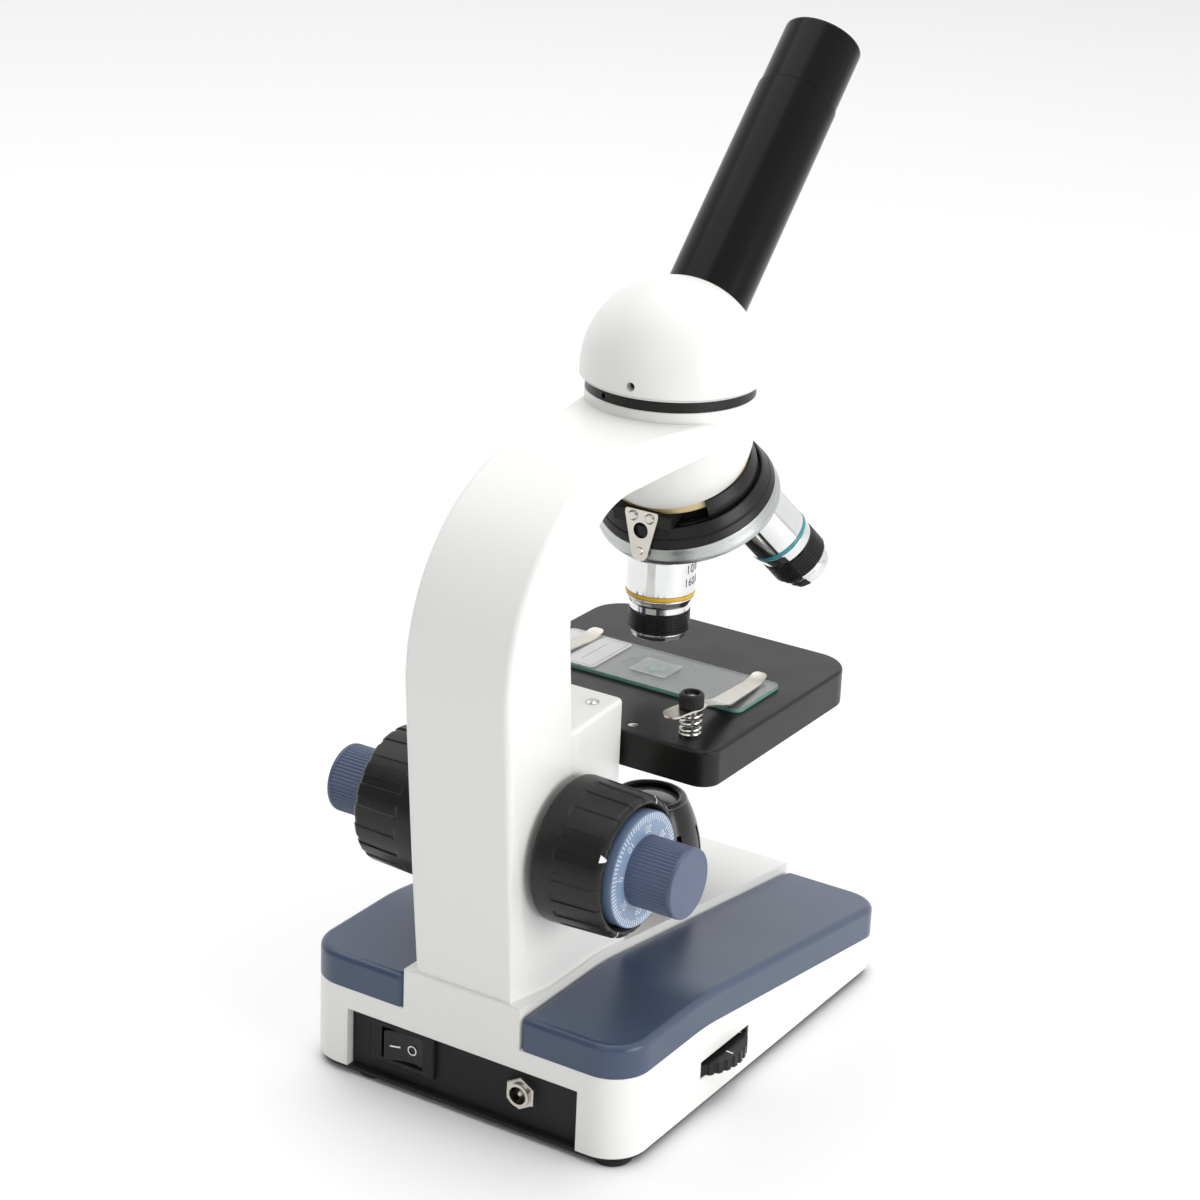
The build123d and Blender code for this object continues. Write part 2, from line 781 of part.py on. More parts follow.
with BuildPart() as fine_scale_disc:
    turn(
        knobs,
        [(2.5, -40.6), (17.3, -40.6), (17.3, -44.0), (16.9, -44.4), (2.5, -44.4)],
    )
save(fine_scale_disc.part, "fine_scale_disc")


with BuildPart() as fine_knobs:
    for sign, start in ((-1, 44.4), (1, 38.6)):
        turn(
            knobs,
            [(2.53, sign * start), (fine_radius, sign * start),
             (fine_radius, sign * (fine_end - 0.8)), (fine_radius - 0.8, sign * fine_end),
             (0, sign * fine_end), (0, sign * 54.03), (2.53, sign * 54.03)],
        )
save(fine_knobs.part, "fine_knobs")

# ---------------------------------------------------------------- stage
stage_floor = stage_top - stage_depth
stage_screw = {sign: vertical_axis(sign * 15.3, axis_y + 37.9) for sign in (-1, 1)}
with BuildPart() as stage_plate:
    with BuildSketch(Plane.XY.offset(stage_floor)):
        with Locations((0, stage_mid_y)):
            Rectangle(stage_size, stage_size)
        fillet(vertices().group_by(Axis.Y)[0], radius=12)
        fillet(vertices().group_by(Axis.Y)[-1], radius=6)
    extrude(amount=stage_depth)
    fillet(faces().sort_by(Axis.Z)[-1].edges(), radius=1.0)
    with BuildSketch(Plane.XY.offset(stage_floor)):
        with Locations((0, stage_mid_y)):
            Rectangle(stage_size - 6, stage_size - 6)
        fillet(vertices(), radius=6)
    extrude(amount=stage_depth - 3.0, mode=Mode.SUBTRACT)
    ring(optical, 0, 12.0, 100, 110, Mode.SUBTRACT)
    for sign in (-1, 1):
        ring(vertical_axis(sign * clip_x, clip_y), 0, 1.5, 100, 110, Mode.SUBTRACT)
        ring(stage_screw[sign], 0, 1.5, 100, 110, Mode.SUBTRACT)
        ring(stage_screw[sign], 0, 1.8, 106.2, 110, Mode.SUBTRACT)
save(stage_plate.part, "stage_plate")

with BuildPart() as stage_bracket:
    block((-10.0, 10.0), (axis_y + 36.5, axis_y + 43.9), (90.5, stage_floor))
    fillet(edges().filter_by(Axis.Z), radius=1.5)
    block((-19.0, 19.0), (axis_y + 28.5, axis_y + 40.3), (stage_floor, stage_top - 3.0))
    block((-7.8, 7.8), (axis_y + 40, axis_y + 59.9), (74, stage_floor))
    block((-3.05, 3.05), (axis_y + 51.9, axis_y + 61), (70, stage_floor + 1), Mode.SUBTRACT)
    for sign in (-1, 1):
        ring(stage_screw[sign], 0, 1.2, 94, 110, Mode.SUBTRACT)
save(stage_bracket.part, "stage_bracket")

with BuildPart() as stage_screws:
    for sign in (-1, 1):
        turn(
            stage_screw[sign],
            [(0, 96.5), (1.15, 96.5), (1.15, 106.2), (1.7, 106.2), (1.7, 107.0), (0, 107.2)],
        )
save(stage_screws.part, "stage_screws")

disc_pin_y = axis_y - 14.5
with BuildPart() as condenser_mount:
    turn(
        optical,
        [(7.6, 98.0), (9.6, 98.0), (9.6, 101.9), (15.0, 101.9), (15.0, 104.2), (11.9, 104.2),
         (11.9, 106.9), (7.6, 106.9)],
    )
    block((-3.5, 3.5), (disc_pin_y - 4, axis_y - 12.5), (101.9, 104.2))
    ring(vertical_axis(0, disc_pin_y), 0, 1.5, 95.0, 104.2)
    ring(vertical_axis(0, disc_pin_y), 0, 3.2, 94.2, 95.0)
save(condenser_mount.part, "condenser_mount")

condenser_ball = (7.6**2 + 4.1**2) / (2 * 4.1)  # radius of the lens's domed top
with BuildPart() as condenser_lens:
    with BuildSketch(optical):
        with BuildLine():
            Polyline((0, 101.5), (0, 98.6), (7.6, 98.6), (7.6, 101.5), (0, 101.5))
        make_face()
        with BuildLine():
            Line((0, 101.5), (7.6, 101.5))
            Line((0, 101.5), (0, 105.6))
            RadiusArc((7.6, 101.5), (0, 105.6), -condenser_ball)
        make_face()
    revolve(axis=Axis(optical.origin, optical.y_dir))
save(condenser_lens.part, "condenser_lens")

with BuildPart() as diaphragm_disc:
    with BuildSketch(Plane.XY.offset(95.3)):
        with Locations((0, disc_pin_y)):
            Circle(21.0)
            Circle(1.56, mode=Mode.SUBTRACT)
            for hole, hole_radius in enumerate((1.0, 2.0, 3.0, 4.0, 5.0)):
                with Locations(on_circle((0, 0), 14.5, pi / 2 + hole * 2 * pi / 5)):
                    Circle(hole_radius, mode=Mode.SUBTRACT)
    extrude(amount=1.4)
save(diaphragm_disc.part, "diaphragm_disc")

slide_low = (-36.5, axis_y - 13.6)
slide_top = stage_top + 1.2
with BuildPart() as glass_slide:
    block(
        (slide_low[0], slide_low[0] + 76),
        (slide_low[1], slide_low[1] + 26),
        (stage_top, slide_top),
    )
save(glass_slide.part, "glass_slide")

with BuildPart() as slide_label:
    block((16.0, 38.9), (axis_y - 12.8, axis_y + 11.4), (slide_top, slide_top + 0.12))
save(slide_label.part, "slide_label")

with BuildPart() as cover_slip:
    block((-6.0, 7.0), (axis_y - 6.6, axis_y + 5.4), (slide_top, slide_top + 0.17))
save(cover_slip.part, "cover_slip")

cap_low = stage_top + 9.0
cap_high = stage_top + 13.4
clip_thick = 0.5
clip_level = cap_low - clip_thick - 0.1
with BuildPart() as clip_screws:
    for sign in (-1, 1):
        turn(
            vertical_axis(sign * clip_x, clip_y),
            [(0, 102.0), (1.45, 102.0), (1.45, cap_low), (3.7, cap_low), (3.7, cap_high - 0.4),
             (3.3, cap_high), (2.2, cap_high), (2.2, cap_high - 1.2), (0, cap_high - 1.2)],
        )
save(clip_screws.part, "clip_screws")

spring_turns = 3.5
spring_wire = 0.55
spring_mean = 2.9
spring_low = stage_top + spring_wire + 0.05
spring_high = clip_level - spring_wire - 0.05
with BuildPart() as clip_springs:
    for sign in (-1, 1):
        with BuildLine() as coil:
            Helix(
                pitch=(spring_high - spring_low) / spring_turns,
                height=spring_high - spring_low,
                radius=spring_mean,
                center=(sign * clip_x, clip_y, spring_low),
            )
        with BuildSketch(Plane(origin=coil.line @ 0, z_dir=coil.line % 0)):
            Circle(spring_wire)
        sweep(path=coil.line, is_frenet=True)
save(clip_springs.part, "clip_springs")

clip_bend_y = axis_y + 14.5
clip_tip_y = axis_y - 13.4
clip_tail = (2.0, 6.6)
clip_lift = 1.6  # the bend and the tip stand this far above the slide
clip_rest = slide_top + 0.2
# the clip's plan: a strip from its rounded tail past the screw to the tip
with BuildPart() as clip_plan:
    with BuildSketch(Plane.XY.offset(stage_top)):
        with BuildLine():
            Polyline(
                (-clip_x - 1.2, clip_y + clip_tail[1]),
                (-clip_x - 3.3, clip_y),
                (-clip_x - 2.1, clip_bend_y),
                (-clip_x + 0.3, clip_tip_y),
                (-clip_x + 5.4, clip_tip_y),
                (-clip_x + 4.4, clip_bend_y),
                (-clip_x + 3.6, clip_y),
                (-clip_x + 5.2, clip_y + clip_tail[1]),
                close=True,
            )
        make_face()
        with Locations((-clip_x + clip_tail[0], clip_y + clip_tail[1])):
            Circle(3.2)
        with Locations((-clip_x, clip_y)):
            Circle(1.53, mode=Mode.SUBTRACT)
    extrude(amount=20)

with BuildPart() as left_clip:
    # level round the screw, down to the bend, then almost level to the turned-up tip
    with BuildSketch(Plane.YZ.offset(-clip_x - 12)):
        with BuildLine():
            path = [
                (clip_y + 10, clip_level - 0.5),
                (clip_y + 4, clip_level),
                (clip_y - 4, clip_level),
                (clip_bend_y, slide_top + clip_lift),
                (clip_tip_y + 5, clip_rest),
                (clip_tip_y, slide_top + clip_lift),
            ]
            upper = [(y, z + clip_thick) for y, z in reversed(path)]
            Polyline(*path, *upper, close=True)
        make_face()
    extrude(amount=24)
    add(clip_plan.part, mode=Mode.INTERSECT)
save(left_clip.part, "left_clip")

with BuildPart() as right_clip:
    mirror(left_clip.part, about=Plane.YZ)
save(right_clip.part, "right_clip")

# ---------------------------------------------------------------- turret and objectives
turret_places = {"10x": -90.0, "40x": 150.0, "4x": 30.0}
seat_radius = shoulder * sin(tilt)
seat_drop = shoulder * cos(tilt)


def seat_cone(radius):
    """Distance down the turret's axis of the cone that carries the objectives."""
    return seat_drop - (radius - seat_radius) * tan(tilt)


def objective_frame(name):
    """Unit vectors along an objective and across it, on the turret's near side."""
    angle = radians(turret_places[name])
    spoke = x_unit * cos(angle) + turret_face.y_dir * sin(angle)
    along = turret_down * cos(tilt) + spoke * sin(tilt)
    across = turret_face.y_dir * cos(angle) - x_unit * sin(angle)
    return axial_plane(meet, along, across)


frames = {name: objective_frame(name) for name in turret_places}

washer_radius = 21.2
with BuildPart() as nosepiece_washer:
    ring(turret, 12.5, washer_radius, head_cut, 20.2)
save(nosepiece_washer.part, "nosepiece_washer")


def spring_reach(drop):
    """Radius of the click spring's inner face at a distance down the turret's axis."""
    return 25.0 + 0.49 * (drop - 23.0)


def behind_turret(reach, drop):
    """A point behind the turret's axis in the plane of symmetry."""
    return meet + turret_rear * reach + turret_down * drop


spring_top = behind_turret(spring_reach(20.2), 20.2)
spring_down = (behind_turret(spring_reach(33.0), 33.0) - spring_top).normalized()
spring_plane = Plane(origin=spring_top, x_dir=x_unit, z_dir=x_unit.cross(spring_down))
click_screw_x = 2.9
click_screw_lines = [
    axial_plane(spring_top + x_unit * x, spring_plane.z_dir, x_unit)
    for x in (-click_screw_x, click_screw_x)
]

# a collar hides the washer all round except behind, where it is cut away
collar_gap = 50.0
with BuildPart() as nosepiece_collar:
    turn(
        turret,
        [(19.0, 20.4), (21.5, 20.4), (21.5, 17.4), (22.1, 17.4), (23.2, 20.5), (23.2, 23.6),
         (19.0, 23.6)],
    )
    gap_half = 40 * sin(radians(collar_gap))
    gap_deep = 40 * cos(radians(collar_gap))
    with BuildSketch(turret_face.offset(16)):
        with BuildLine():
            Polyline((0, 0), (-gap_half, -gap_deep), (0, -60), (gap_half, -gap_deep), close=True)
        make_face()
    extrude(amount=9, mode=Mode.SUBTRACT)

with BuildPart() as nosepiece_base:
    ring(turret, 3.0, 19.4, 20.2, 23.6)
    ring(turret, 3.0, 12.4, head_cut, 20.2)
    # the lug behind it, which carries the click spring
    with BuildSketch(Plane.YZ.offset(-10)):
        lug = [
            behind_turret(18.0, 20.3),
            behind_turret(washer_radius + 0.2, 20.3),
            behind_turret(washer_radius + 0.2, 18.9),
            behind_turret(spring_reach(18.9), 18.9),
            behind_turret(spring_reach(22.4), 22.4),
            behind_turret(18.0, 22.4),
        ]
        with BuildLine():
            Polyline(*[(corner.Y, corner.Z) for corner in lug], close=True)
        make_face()
    extrude(amount=20)
    add(nosepiece_collar.part)
    for screw_line in click_screw_lines:
        ring(screw_line, 0, 1.05, -3.1, 0.5, Mode.SUBTRACT)
    # the light path and the bolt's hole
    ring(optical, 0, 4.4, 150.0, 190.0, Mode.SUBTRACT)
save(nosepiece_base.part, "nosepiece_base")

with BuildPart() as turret_disc:
    turn(
        turret,
        [(3.1, 24.0), (19.0, 24.0), (23.4, 24.6), (23.8, 23.1), (24.6, 23.0), (27.4, 29.2),
         (24.0, 29.2), (23.0, 27.0), (8.0, 27.0), (8.0, 31.0), (3.1, 31.0)],
    )
    for name in turret_places:
        ring(frames[name], 0, 6.0, 20, 45, Mode.SUBTRACT)
save(turret_disc.part, "turret_disc")

with BuildPart() as turret_ring:
    turn(
        turret,
        [(24.2, 29.2), (27.5, 29.2), (28.5, seat_cone(28.5) - 0.6), (28.2, seat_cone(28.2)),
         (7.0, seat_cone(7.0)), (3.1, seat_cone(7.0)), (3.1, 38.0), (9.0, 37.5),
         (24.2, seat_cone(24.2) - 2.6)],
    )
    for name in turret_places:
        ring(frames[name], 0, 8.9, 20, 50, Mode.SUBTRACT)
save(turret_ring.part, "turret_ring")

with BuildPart() as turret_bolt:
    end_face = seat_cone(7.0)
    turn(
        turret,
        [(0, 15.0), (1.95, 15.0), (1.95, 23.6), (3.0, 23.6), (3.0, end_face + 0.3),
         (6.0, end_face + 0.3), (6.0, end_face + 2.2), (5.0, end_face + 3.0),
         (0, end_face + 3.0)],
    )
save(turret_bolt.part, "turret_bolt")

with BuildPart() as click_spring:
    with BuildSketch(spring_plane):
        with BuildLine():
            Polyline(
                (-5.7, -2.1), (5.7, -2.1), (5.7, -0.4), (3.0, 10.8), (-3.0, 10.8), (-5.7, -0.4),
                close=True,
            )
        make_face()
        with Locations((0, 10.8)):
            Circle(3.0)
        fillet(vertices().group_by(Axis.Y)[0], radius=0.8)
        with Locations((0, 4.2)):
            Circle(2.5, mode=Mode.SUBTRACT)
        with Locations((-click_screw_x, 0), (click_screw_x, 0)):
            Circle(1.1, mode=Mode.SUBTRACT)
    extrude(amount=0.5)
    # the rivet of the click ball at its free end
    with BuildSketch(spring_plane.offset(0.5)):
        with Locations((0, 10.6)):
            Circle(1.3)
    extrude(amount=0.5, taper=25)
save(click_spring.part, "click_spring")

with BuildPart() as small_screws:
    for screw_line in click_screw_lines:
        turn(
            screw_line,
            [(0, -3.0), (1.05, -3.0), (1.05, 0.5), (1.6, 0.5), (1.6, 0.8), (1.1, 1.1),
             (0, 1.1)],
        )
    # two more hold the top of the focus housing
    for x in (-lid_screw_x, lid_screw_x):
        turn(
            vertical_axis(x, lid_screw_y),
            [(0, housing_top - 3.5), (1.05, housing_top - 3.5), (1.05, housing_top),
             (2.1, housing_top), (2.1, housing_top + 0.3), (1.4, housing_top + 0.8),
             (0, housing_top + 0.8)],
        )
save(small_screws.part, "small_screws")


def objective_body(name, sections):
    """An objective's outline behind its seat, with the threaded neck above the seat."""
    outline = [(4.2, shoulder - 4.0), (8.9, shoulder - 4.0), (8.9, shoulder)]
    turn(frames[name], outline + sections)


with BuildPart() as objective_10x:
    objective_body(
        "10x",
        [(10.2, shoulder), (10.6, shoulder + 0.4), (10.6, 54.3), (10.2, 54.3), (10.2, 55.8),
         (10.6, 55.8), (9.3, 58.2), (9.3, 60.8), (7.8, 60.8), (7.8, 67.2), (9.0, 67.2),
         (8.6, 69.6), (3.5, 69.6), (2.6, 66.0), (4.2, 60.0)],
    )
save(objective_10x.part, "objective_10x")

with BuildPart() as objective_4x:
    objective_body(
        "4x",
        [(9.9, shoulder), (10.3, shoulder + 0.4), (10.3, 47.6), (9.9, 47.6), (9.9, 49.1),
         (10.3, 49.1), (9.2, 51.0), (9.2, 52.0), (7.8, 52.0), (7.8, 56.5), (9.0, 56.5),
         (8.6, 58.6), (6.4, 58.6), (5.4, 55.0), (4.2, 50.0)],
    )
save(objective_4x.part, "objective_4x")

with BuildPart() as objective_40x:
    objective_body(
        "40x",
        [(9.6, shoulder), (9.9, shoulder + 0.4), (9.9, 57.2), (9.5, 57.2), (9.5, 58.7),
         (9.9, 58.7), (9.9, 61.6), (9.2, 62.6), (7.8, 62.6), (7.8, 70.0), (8.9, 70.0),
         (8.9, 71.4), (6.0, 71.4), (6.0, 60.0), (4.2, 56.0)],
    )
save(objective_40x.part, "objective_40x")

band_spans = {"10x": (54.3, 55.8, 10.2, 10.75), "4x": (47.6, 49.1, 9.9, 10.45),
              "40x": (57.2, 58.7, 9.5, 10.05)}
for name, (start, end, inner, outer) in band_spans.items():
    with BuildPart() as band:
        ring(frames[name], inner, outer, start, end)
    save(band.part, "band_" + name)

grip_spans = {"10x": (60.8, 67.2), "4x": (52.0, 56.5), "40x": (62.6, 70.0)}
with BuildPart() as objective_grips:
    for name, (start, end) in grip_spans.items():
        ring(frames[name], 7.8, 9.3, start, end)
save(objective_grips.part, "objective_grips")

with BuildPart() as objective_40x_nose:
    turn(
        frames["40x"],
        [(0.9, 62.2), (5.95, 62.2), (5.95, 71.8), (8.2, 72.2), (7.6, 75.4), (1.6, 75.4),
         (0.9, 74.6)],
    )
save(objective_40x_nose.part, "objective_40x_nose")

with BuildPart() as front_lenses:
    ring(frames["10x"], 0, 2.6, 66.0, 68.6)
    ring(frames["4x"], 0, 5.4, 55.0, 57.2)
save(front_lenses.part, "front_lenses")

# ---------------------------------------------------------------- head and eyepiece
set_screw = axial_plane(Vector(0, axis_y, 206.0), Vector(-0.092, 0.9958, 0), Vector(0, 0, 1))
with BuildPart() as head_ring:
    turn(
        optical,
        [(17.95, head_top), (25.4, head_top), (25.4, head_top + ring_height),
         (17.95, head_top + ring_height)],
    )
    turn(
        axial_plane(
            Vector(0, axis_y, head_top + 1.5), Vector(0.337, 0.9415, 0), Vector(0, 0, 1)
        ),
        [(0, 15), (0.9, 15), (0.9, 30), (0, 30)],
        Mode.SUBTRACT,
    )
save(head_ring.part, "head_ring")

with BuildPart() as head_dome:
    with BuildSketch(optical):
        with BuildLine():
            Polyline(
                (0, dome_ball_z + dome_radius),
                (0, dome_floor),
                (dome_radius - 0.6, dome_floor),
                (dome_radius, dome_floor + 0.6),
                (dome_radius, dome_ball_z),
            )
            CenterArc((0, dome_ball_z), dome_radius, 0, 90)
        make_face()
    revolve(axis=Axis(optical.origin, optical.y_dir))
    # the hollow above the floor at the equator
    with BuildSketch(optical):
        with BuildLine():
            Polyline(
                (dome_inner * cos(radians(1)), dome_ball_z + dome_inner * sin(radians(1))),
                (0, dome_ball_z + dome_inner * sin(radians(1))),
                (0, dome_ball_z + dome_inner),
            )
            CenterArc((0, dome_ball_z), dome_inner, 1, 89)
        make_face()
    revolve(axis=Axis(optical.origin, optical.y_dir), mode=Mode.SUBTRACT)
    # the spigot that turns in the arm's head, and the light path
    ring(optical, 9.0, 17.9, 190.0, dome_floor + 0.5)
    ring(optical, 0, 9.0, 189.0, dome_ball_z + 1, Mode.SUBTRACT)
    ring(tube, 0, tube_radius, 8, 40, Mode.SUBTRACT)
    ring(set_screw, 0, 1.3, 20, 30, Mode.SUBTRACT)
save(head_dome.part, "head_dome")

with BuildPart() as dome_set_screw:
    turn(set_screw, [(0, 22.0), (1.25, 22.0), (1.25, 24.6), (0.6, 24.6), (0.6, 23.6), (0, 23.6)])
save(dome_set_screw.part, "dome_set_screw")

with BuildPart() as head_prism:
    with BuildSketch(Plane.YZ.offset(-8.5)):
        with BuildLine():
            Polyline(
                (axis_y + 9.0, dome_ball_z + 0.5),
                (axis_y - 9.0, dome_ball_z + 0.5),
                (axis_y - 11.5, dome_ball_z + 5.0),
                (axis_y + 1.0, dome_ball_z + 17.0),
                close=True,
            )
        make_face()
    extrude(amount=17)
save(head_prism.part, "head_prism")

with BuildPart() as eyepiece_tube:
    turn(
        tube,
        [(tube_bore, 19.5), (tube_radius, 19.5), (tube_radius, tube_seam),
         (tube_bore, tube_seam)],
    )
save(eyepiece_tube.part, "eyepiece_tube")

with BuildPart() as eyepiece_body:
    turn(
        tube,
        [(9.6, 62.0), (tube_bore - 0.05, 62.0), (tube_bore - 0.05, tube_seam + 0.1),
         (eyepiece_radius, tube_seam + 0.1), (eyepiece_radius, tube_end - 1.0),
         (eyepiece_radius - 1.0, tube_end), (9.8, tube_end), (7.5, tube_end - 4.0),
         (7.5, tube_end - 8.0), (9.6, tube_end - 8.0)],
    )
save(eyepiece_body.part, "eyepiece_body")

with BuildPart() as eyepiece_lenses:
    ring(tube, 0, 7.5, tube_end - 8.0, tube_end - 4.6)
    ring(tube, 0, 9.6, 66.0, 70.0)
save(eyepiece_lenses.part, "eyepiece_lenses")
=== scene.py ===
import bpy
from math import cos, pi, radians, sin, tan
from mathutils import Matrix, Vector


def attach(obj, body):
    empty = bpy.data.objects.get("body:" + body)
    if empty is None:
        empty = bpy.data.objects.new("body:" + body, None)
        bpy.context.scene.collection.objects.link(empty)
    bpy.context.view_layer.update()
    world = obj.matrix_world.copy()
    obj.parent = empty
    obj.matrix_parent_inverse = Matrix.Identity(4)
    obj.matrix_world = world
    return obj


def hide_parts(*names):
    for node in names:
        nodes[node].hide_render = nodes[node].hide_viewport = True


# A monocular student microscope. The shapes below are in millimetres, in the frame of the CAD
# nodes: +Z up, the user at -Y, the arm at +Y. Every finished mesh is brought to metres by MM.

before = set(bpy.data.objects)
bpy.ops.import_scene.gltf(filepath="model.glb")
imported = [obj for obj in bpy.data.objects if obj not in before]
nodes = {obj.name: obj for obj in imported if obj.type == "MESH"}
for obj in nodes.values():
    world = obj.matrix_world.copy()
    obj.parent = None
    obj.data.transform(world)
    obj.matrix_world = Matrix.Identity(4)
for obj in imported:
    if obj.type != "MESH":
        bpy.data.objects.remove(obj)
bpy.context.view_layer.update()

MM = 0.001
X_AXIS = Vector((1, 0, 0))
Y_AXIS = Vector((0, 1, 0))
Z_AXIS = Vector((0, 0, 1))

AXIS_Y = -8.6  # the optical axis, upright through the stage
KNOB_Y = AXIS_Y + 77.7
KNOB_Z = 83.9
STAGE_TOP = 107.2
SLIDE_TOP = STAGE_TOP + 1.2
TURRET_TILT = radians(25.1)
MEET = Vector((0, AXIS_Y, 190.06))  # where the turret's axis meets the optical axis
TURRET_DOWN = Vector((0, -sin(TURRET_TILT), -cos(TURRET_TILT)))
TURRET_UP_SIDE = Vector((0, -cos(TURRET_TILT), sin(TURRET_TILT)))
TUBE_LEAN = radians(43.3)
TUBE_UP = Vector((0, -sin(TUBE_LEAN), cos(TUBE_LEAN)))
TUBE_START = Vector((0, AXIS_Y, 203.1))


# ---------------------------------------------------------------- materials
def link_noise(tree, coordinates, scale, detail):
    """A noise texture driven by a coordinate socket."""
    noise = tree.nodes.new("ShaderNodeTexNoise")
    noise.inputs["Scale"].default_value = scale
    noise.inputs["Detail"].default_value = detail
    tree.links.new(coordinates, noise.inputs["Vector"])
    return noise.outputs["Fac"]


def link_range(tree, value, low, high):
    """Bring a noise value from its usual spread to the range low to high."""
    mapped = tree.nodes.new("ShaderNodeMapRange")
    mapped.interpolation_type = "SMOOTHSTEP"
    mapped.inputs["From Min"].default_value = 0.25
    mapped.inputs["From Max"].default_value = 0.75
    mapped.inputs["To Min"].default_value = low
    mapped.inputs["To Max"].default_value = high
    tree.links.new(value, mapped.inputs["Value"])
    return mapped.outputs["Result"]


def surface(
    name,
    color,
    roughness,
    metallic=0.0,
    variation=0.06,
    patch=18.0,
    polish_spread=0.05,
    grain=900.0,
    grain_height=0.000004,
    coat=0.0,
    lines=False,
    edge=0.0,
    shine=0.5,
):
    """A procedural surface: colour and polish drift slowly over it, and a fine grain lies on it.

    With lines it follows a piece's own "grain" coordinates, which run round a turned part.
    """
    m = bpy.data.materials.new(name)
    m.use_nodes = True
    tree = m.node_tree
    shader = tree.nodes["Principled BSDF"]
    shader.inputs["Metallic"].default_value = metallic
    shader.inputs["Coat Weight"].default_value = coat
    shader.inputs["Coat Roughness"].default_value = 0.12
    shader.inputs["Specular IOR Level"].default_value = shine
    if lines:
        source = tree.nodes.new("ShaderNodeAttribute")
        source.attribute_name = "grain"
        coordinates = source.outputs["Vector"]
    else:
        source = tree.nodes.new("ShaderNodeTexCoord")
        coordinates = source.outputs["Object"]
    drift = link_noise(tree, coordinates, patch, 3.0)
    blend = tree.nodes.new("ShaderNodeMix")
    blend.data_type = "RGBA"
    darker = [c * (1 - variation) for c in color]
    lighter = [min(1.0, c * (1 + variation)) for c in color]
    blend.inputs["A"].default_value = (*darker, 1)
    blend.inputs["B"].default_value = (*lighter, 1)
    tree.links.new(link_range(tree, drift, 0.0, 1.0), blend.inputs["Factor"])
    tree.links.new(blend.outputs["Result"], shader.inputs["Base Color"])
    polish = link_noise(tree, coordinates, patch * 2.3, 4.0)
    tree.links.new(
        link_range(tree, polish, roughness - polish_spread, roughness + polish_spread),
        shader.inputs["Roughness"],
    )
    bump = tree.nodes.new("ShaderNodeBump")
    bump.inputs["Strength"].default_value = 1.0
    bump.inputs["Distance"].default_value = grain_height
    tree.links.new(link_noise(tree, coordinates, grain, 2.0), bump.inputs["Height"])
    if edge:
        bevel = tree.nodes.new("ShaderNodeBevel")
        bevel.samples = 4
        bevel.inputs["Radius"].default_value = edge
        tree.links.new(bevel.outputs["Normal"], bump.inputs["Normal"])
    tree.links.new(bump.outputs["Normal"], shader.inputs["Normal"])
    return m


def clear_glass(name, color, clearness=1.0):
    """Clear glass with faint dust in its polish. Less clearness gives it a light haze."""
    m = surface(name, color, 0.02, variation=0.02, polish_spread=0.01, grain=300.0,
                grain_height=0.0000005)
    shader = m.node_tree.nodes["Principled BSDF"]
    shader.inputs["Transmission Weight"].default_value = clearness
    shader.inputs["IOR"].default_value = 1.5
    return m


WHITE = surface("white_paint", (0.84, 0.84, 0.815), 0.4, variation=0.012, patch=9.0,
                grain=700.0, grain_height=0.000006, coat=0.1, edge=0.0006, shine=0.4)
COVER = surface("blue_cover", (0.05, 0.074, 0.132), 0.3, variation=0.05, patch=14.0,
                polish_spread=0.02, grain=1400.0, grain_height=0.000006, edge=0.0004)
BLACK_PAINT = surface("black_paint", (0.01, 0.0095, 0.009), 0.32, variation=0.12, patch=25.0,
                      grain=1300.0, grain_height=0.000007, edge=0.0003, shine=0.28)
TUBE_PAINT = surface("tube_paint", (0.003, 0.003, 0.003), 0.22, variation=0.12, patch=25.0,
                     polish_spread=0.02, grain=1300.0, grain_height=0.000003, shine=0.16)
BLACK_MATT = surface("black_matt", (0.014, 0.014, 0.015), 0.5, variation=0.12, patch=30.0,
                     grain=2200.0, grain_height=0.000015, edge=0.0002, shine=0.25)
BLACK_GLOSS = surface("black_gloss", (0.008, 0.008, 0.008), 0.16, variation=0.1, patch=25.0,
                      grain=500.0, grain_height=0.000002, edge=0.0002, shine=0.4)
BLACK_KNOB = surface("black_knob", (0.014, 0.014, 0.0135), 0.34, variation=0.1, patch=30.0,
                     grain=1800.0, grain_height=0.000008, shine=0.3)
RUBBER = surface("rubber", (0.016, 0.016, 0.016), 0.75, variation=0.15, patch=60.0,
                 grain=1500.0, grain_height=0.00003, shine=0.25)
STEEL = surface("steel", (0.66, 0.63, 0.57), 0.24, 1.0, variation=0.06, patch=80.0,
                grain=2500.0, grain_height=0.000004)
TURNED_STEEL = surface("turned_steel", (0.66, 0.65, 0.62), 0.2, 1.0, variation=0.08,
                       patch=0.5, grain=9.0, grain_height=0.000006, lines=True)
CHROME = surface("chrome", (0.76, 0.77, 0.77), 0.08, 1.0, variation=0.02, patch=0.3,
                 polish_spread=0.02, grain=4.0, grain_height=0.0000012, lines=True)
TURRET_ALLOY = surface("turret_alloy", (0.5, 0.52, 0.51), 0.3, 1.0, variation=0.06, patch=0.6,
                       grain=7.0, grain_height=0.000007, lines=True)
BRASS = surface("brass", (0.62, 0.43, 0.17), 0.3, 1.0, variation=0.08, patch=60.0)
CREAM = surface("cream_plastic", (0.7, 0.56, 0.31), 0.38, variation=0.06, patch=60.0,
                grain=1500.0, grain_height=0.00001)
BLUE_KNOB = surface("blue_knob", (0.076, 0.1, 0.175), 0.42, variation=0.06, patch=50.0,
                    grain=1800.0, grain_height=0.00001)
BLUE_RIM = surface("blue_rim", (0.12, 0.17, 0.27), 0.35, variation=0.05, patch=50.0,
                   grain=1800.0, grain_height=0.000008)
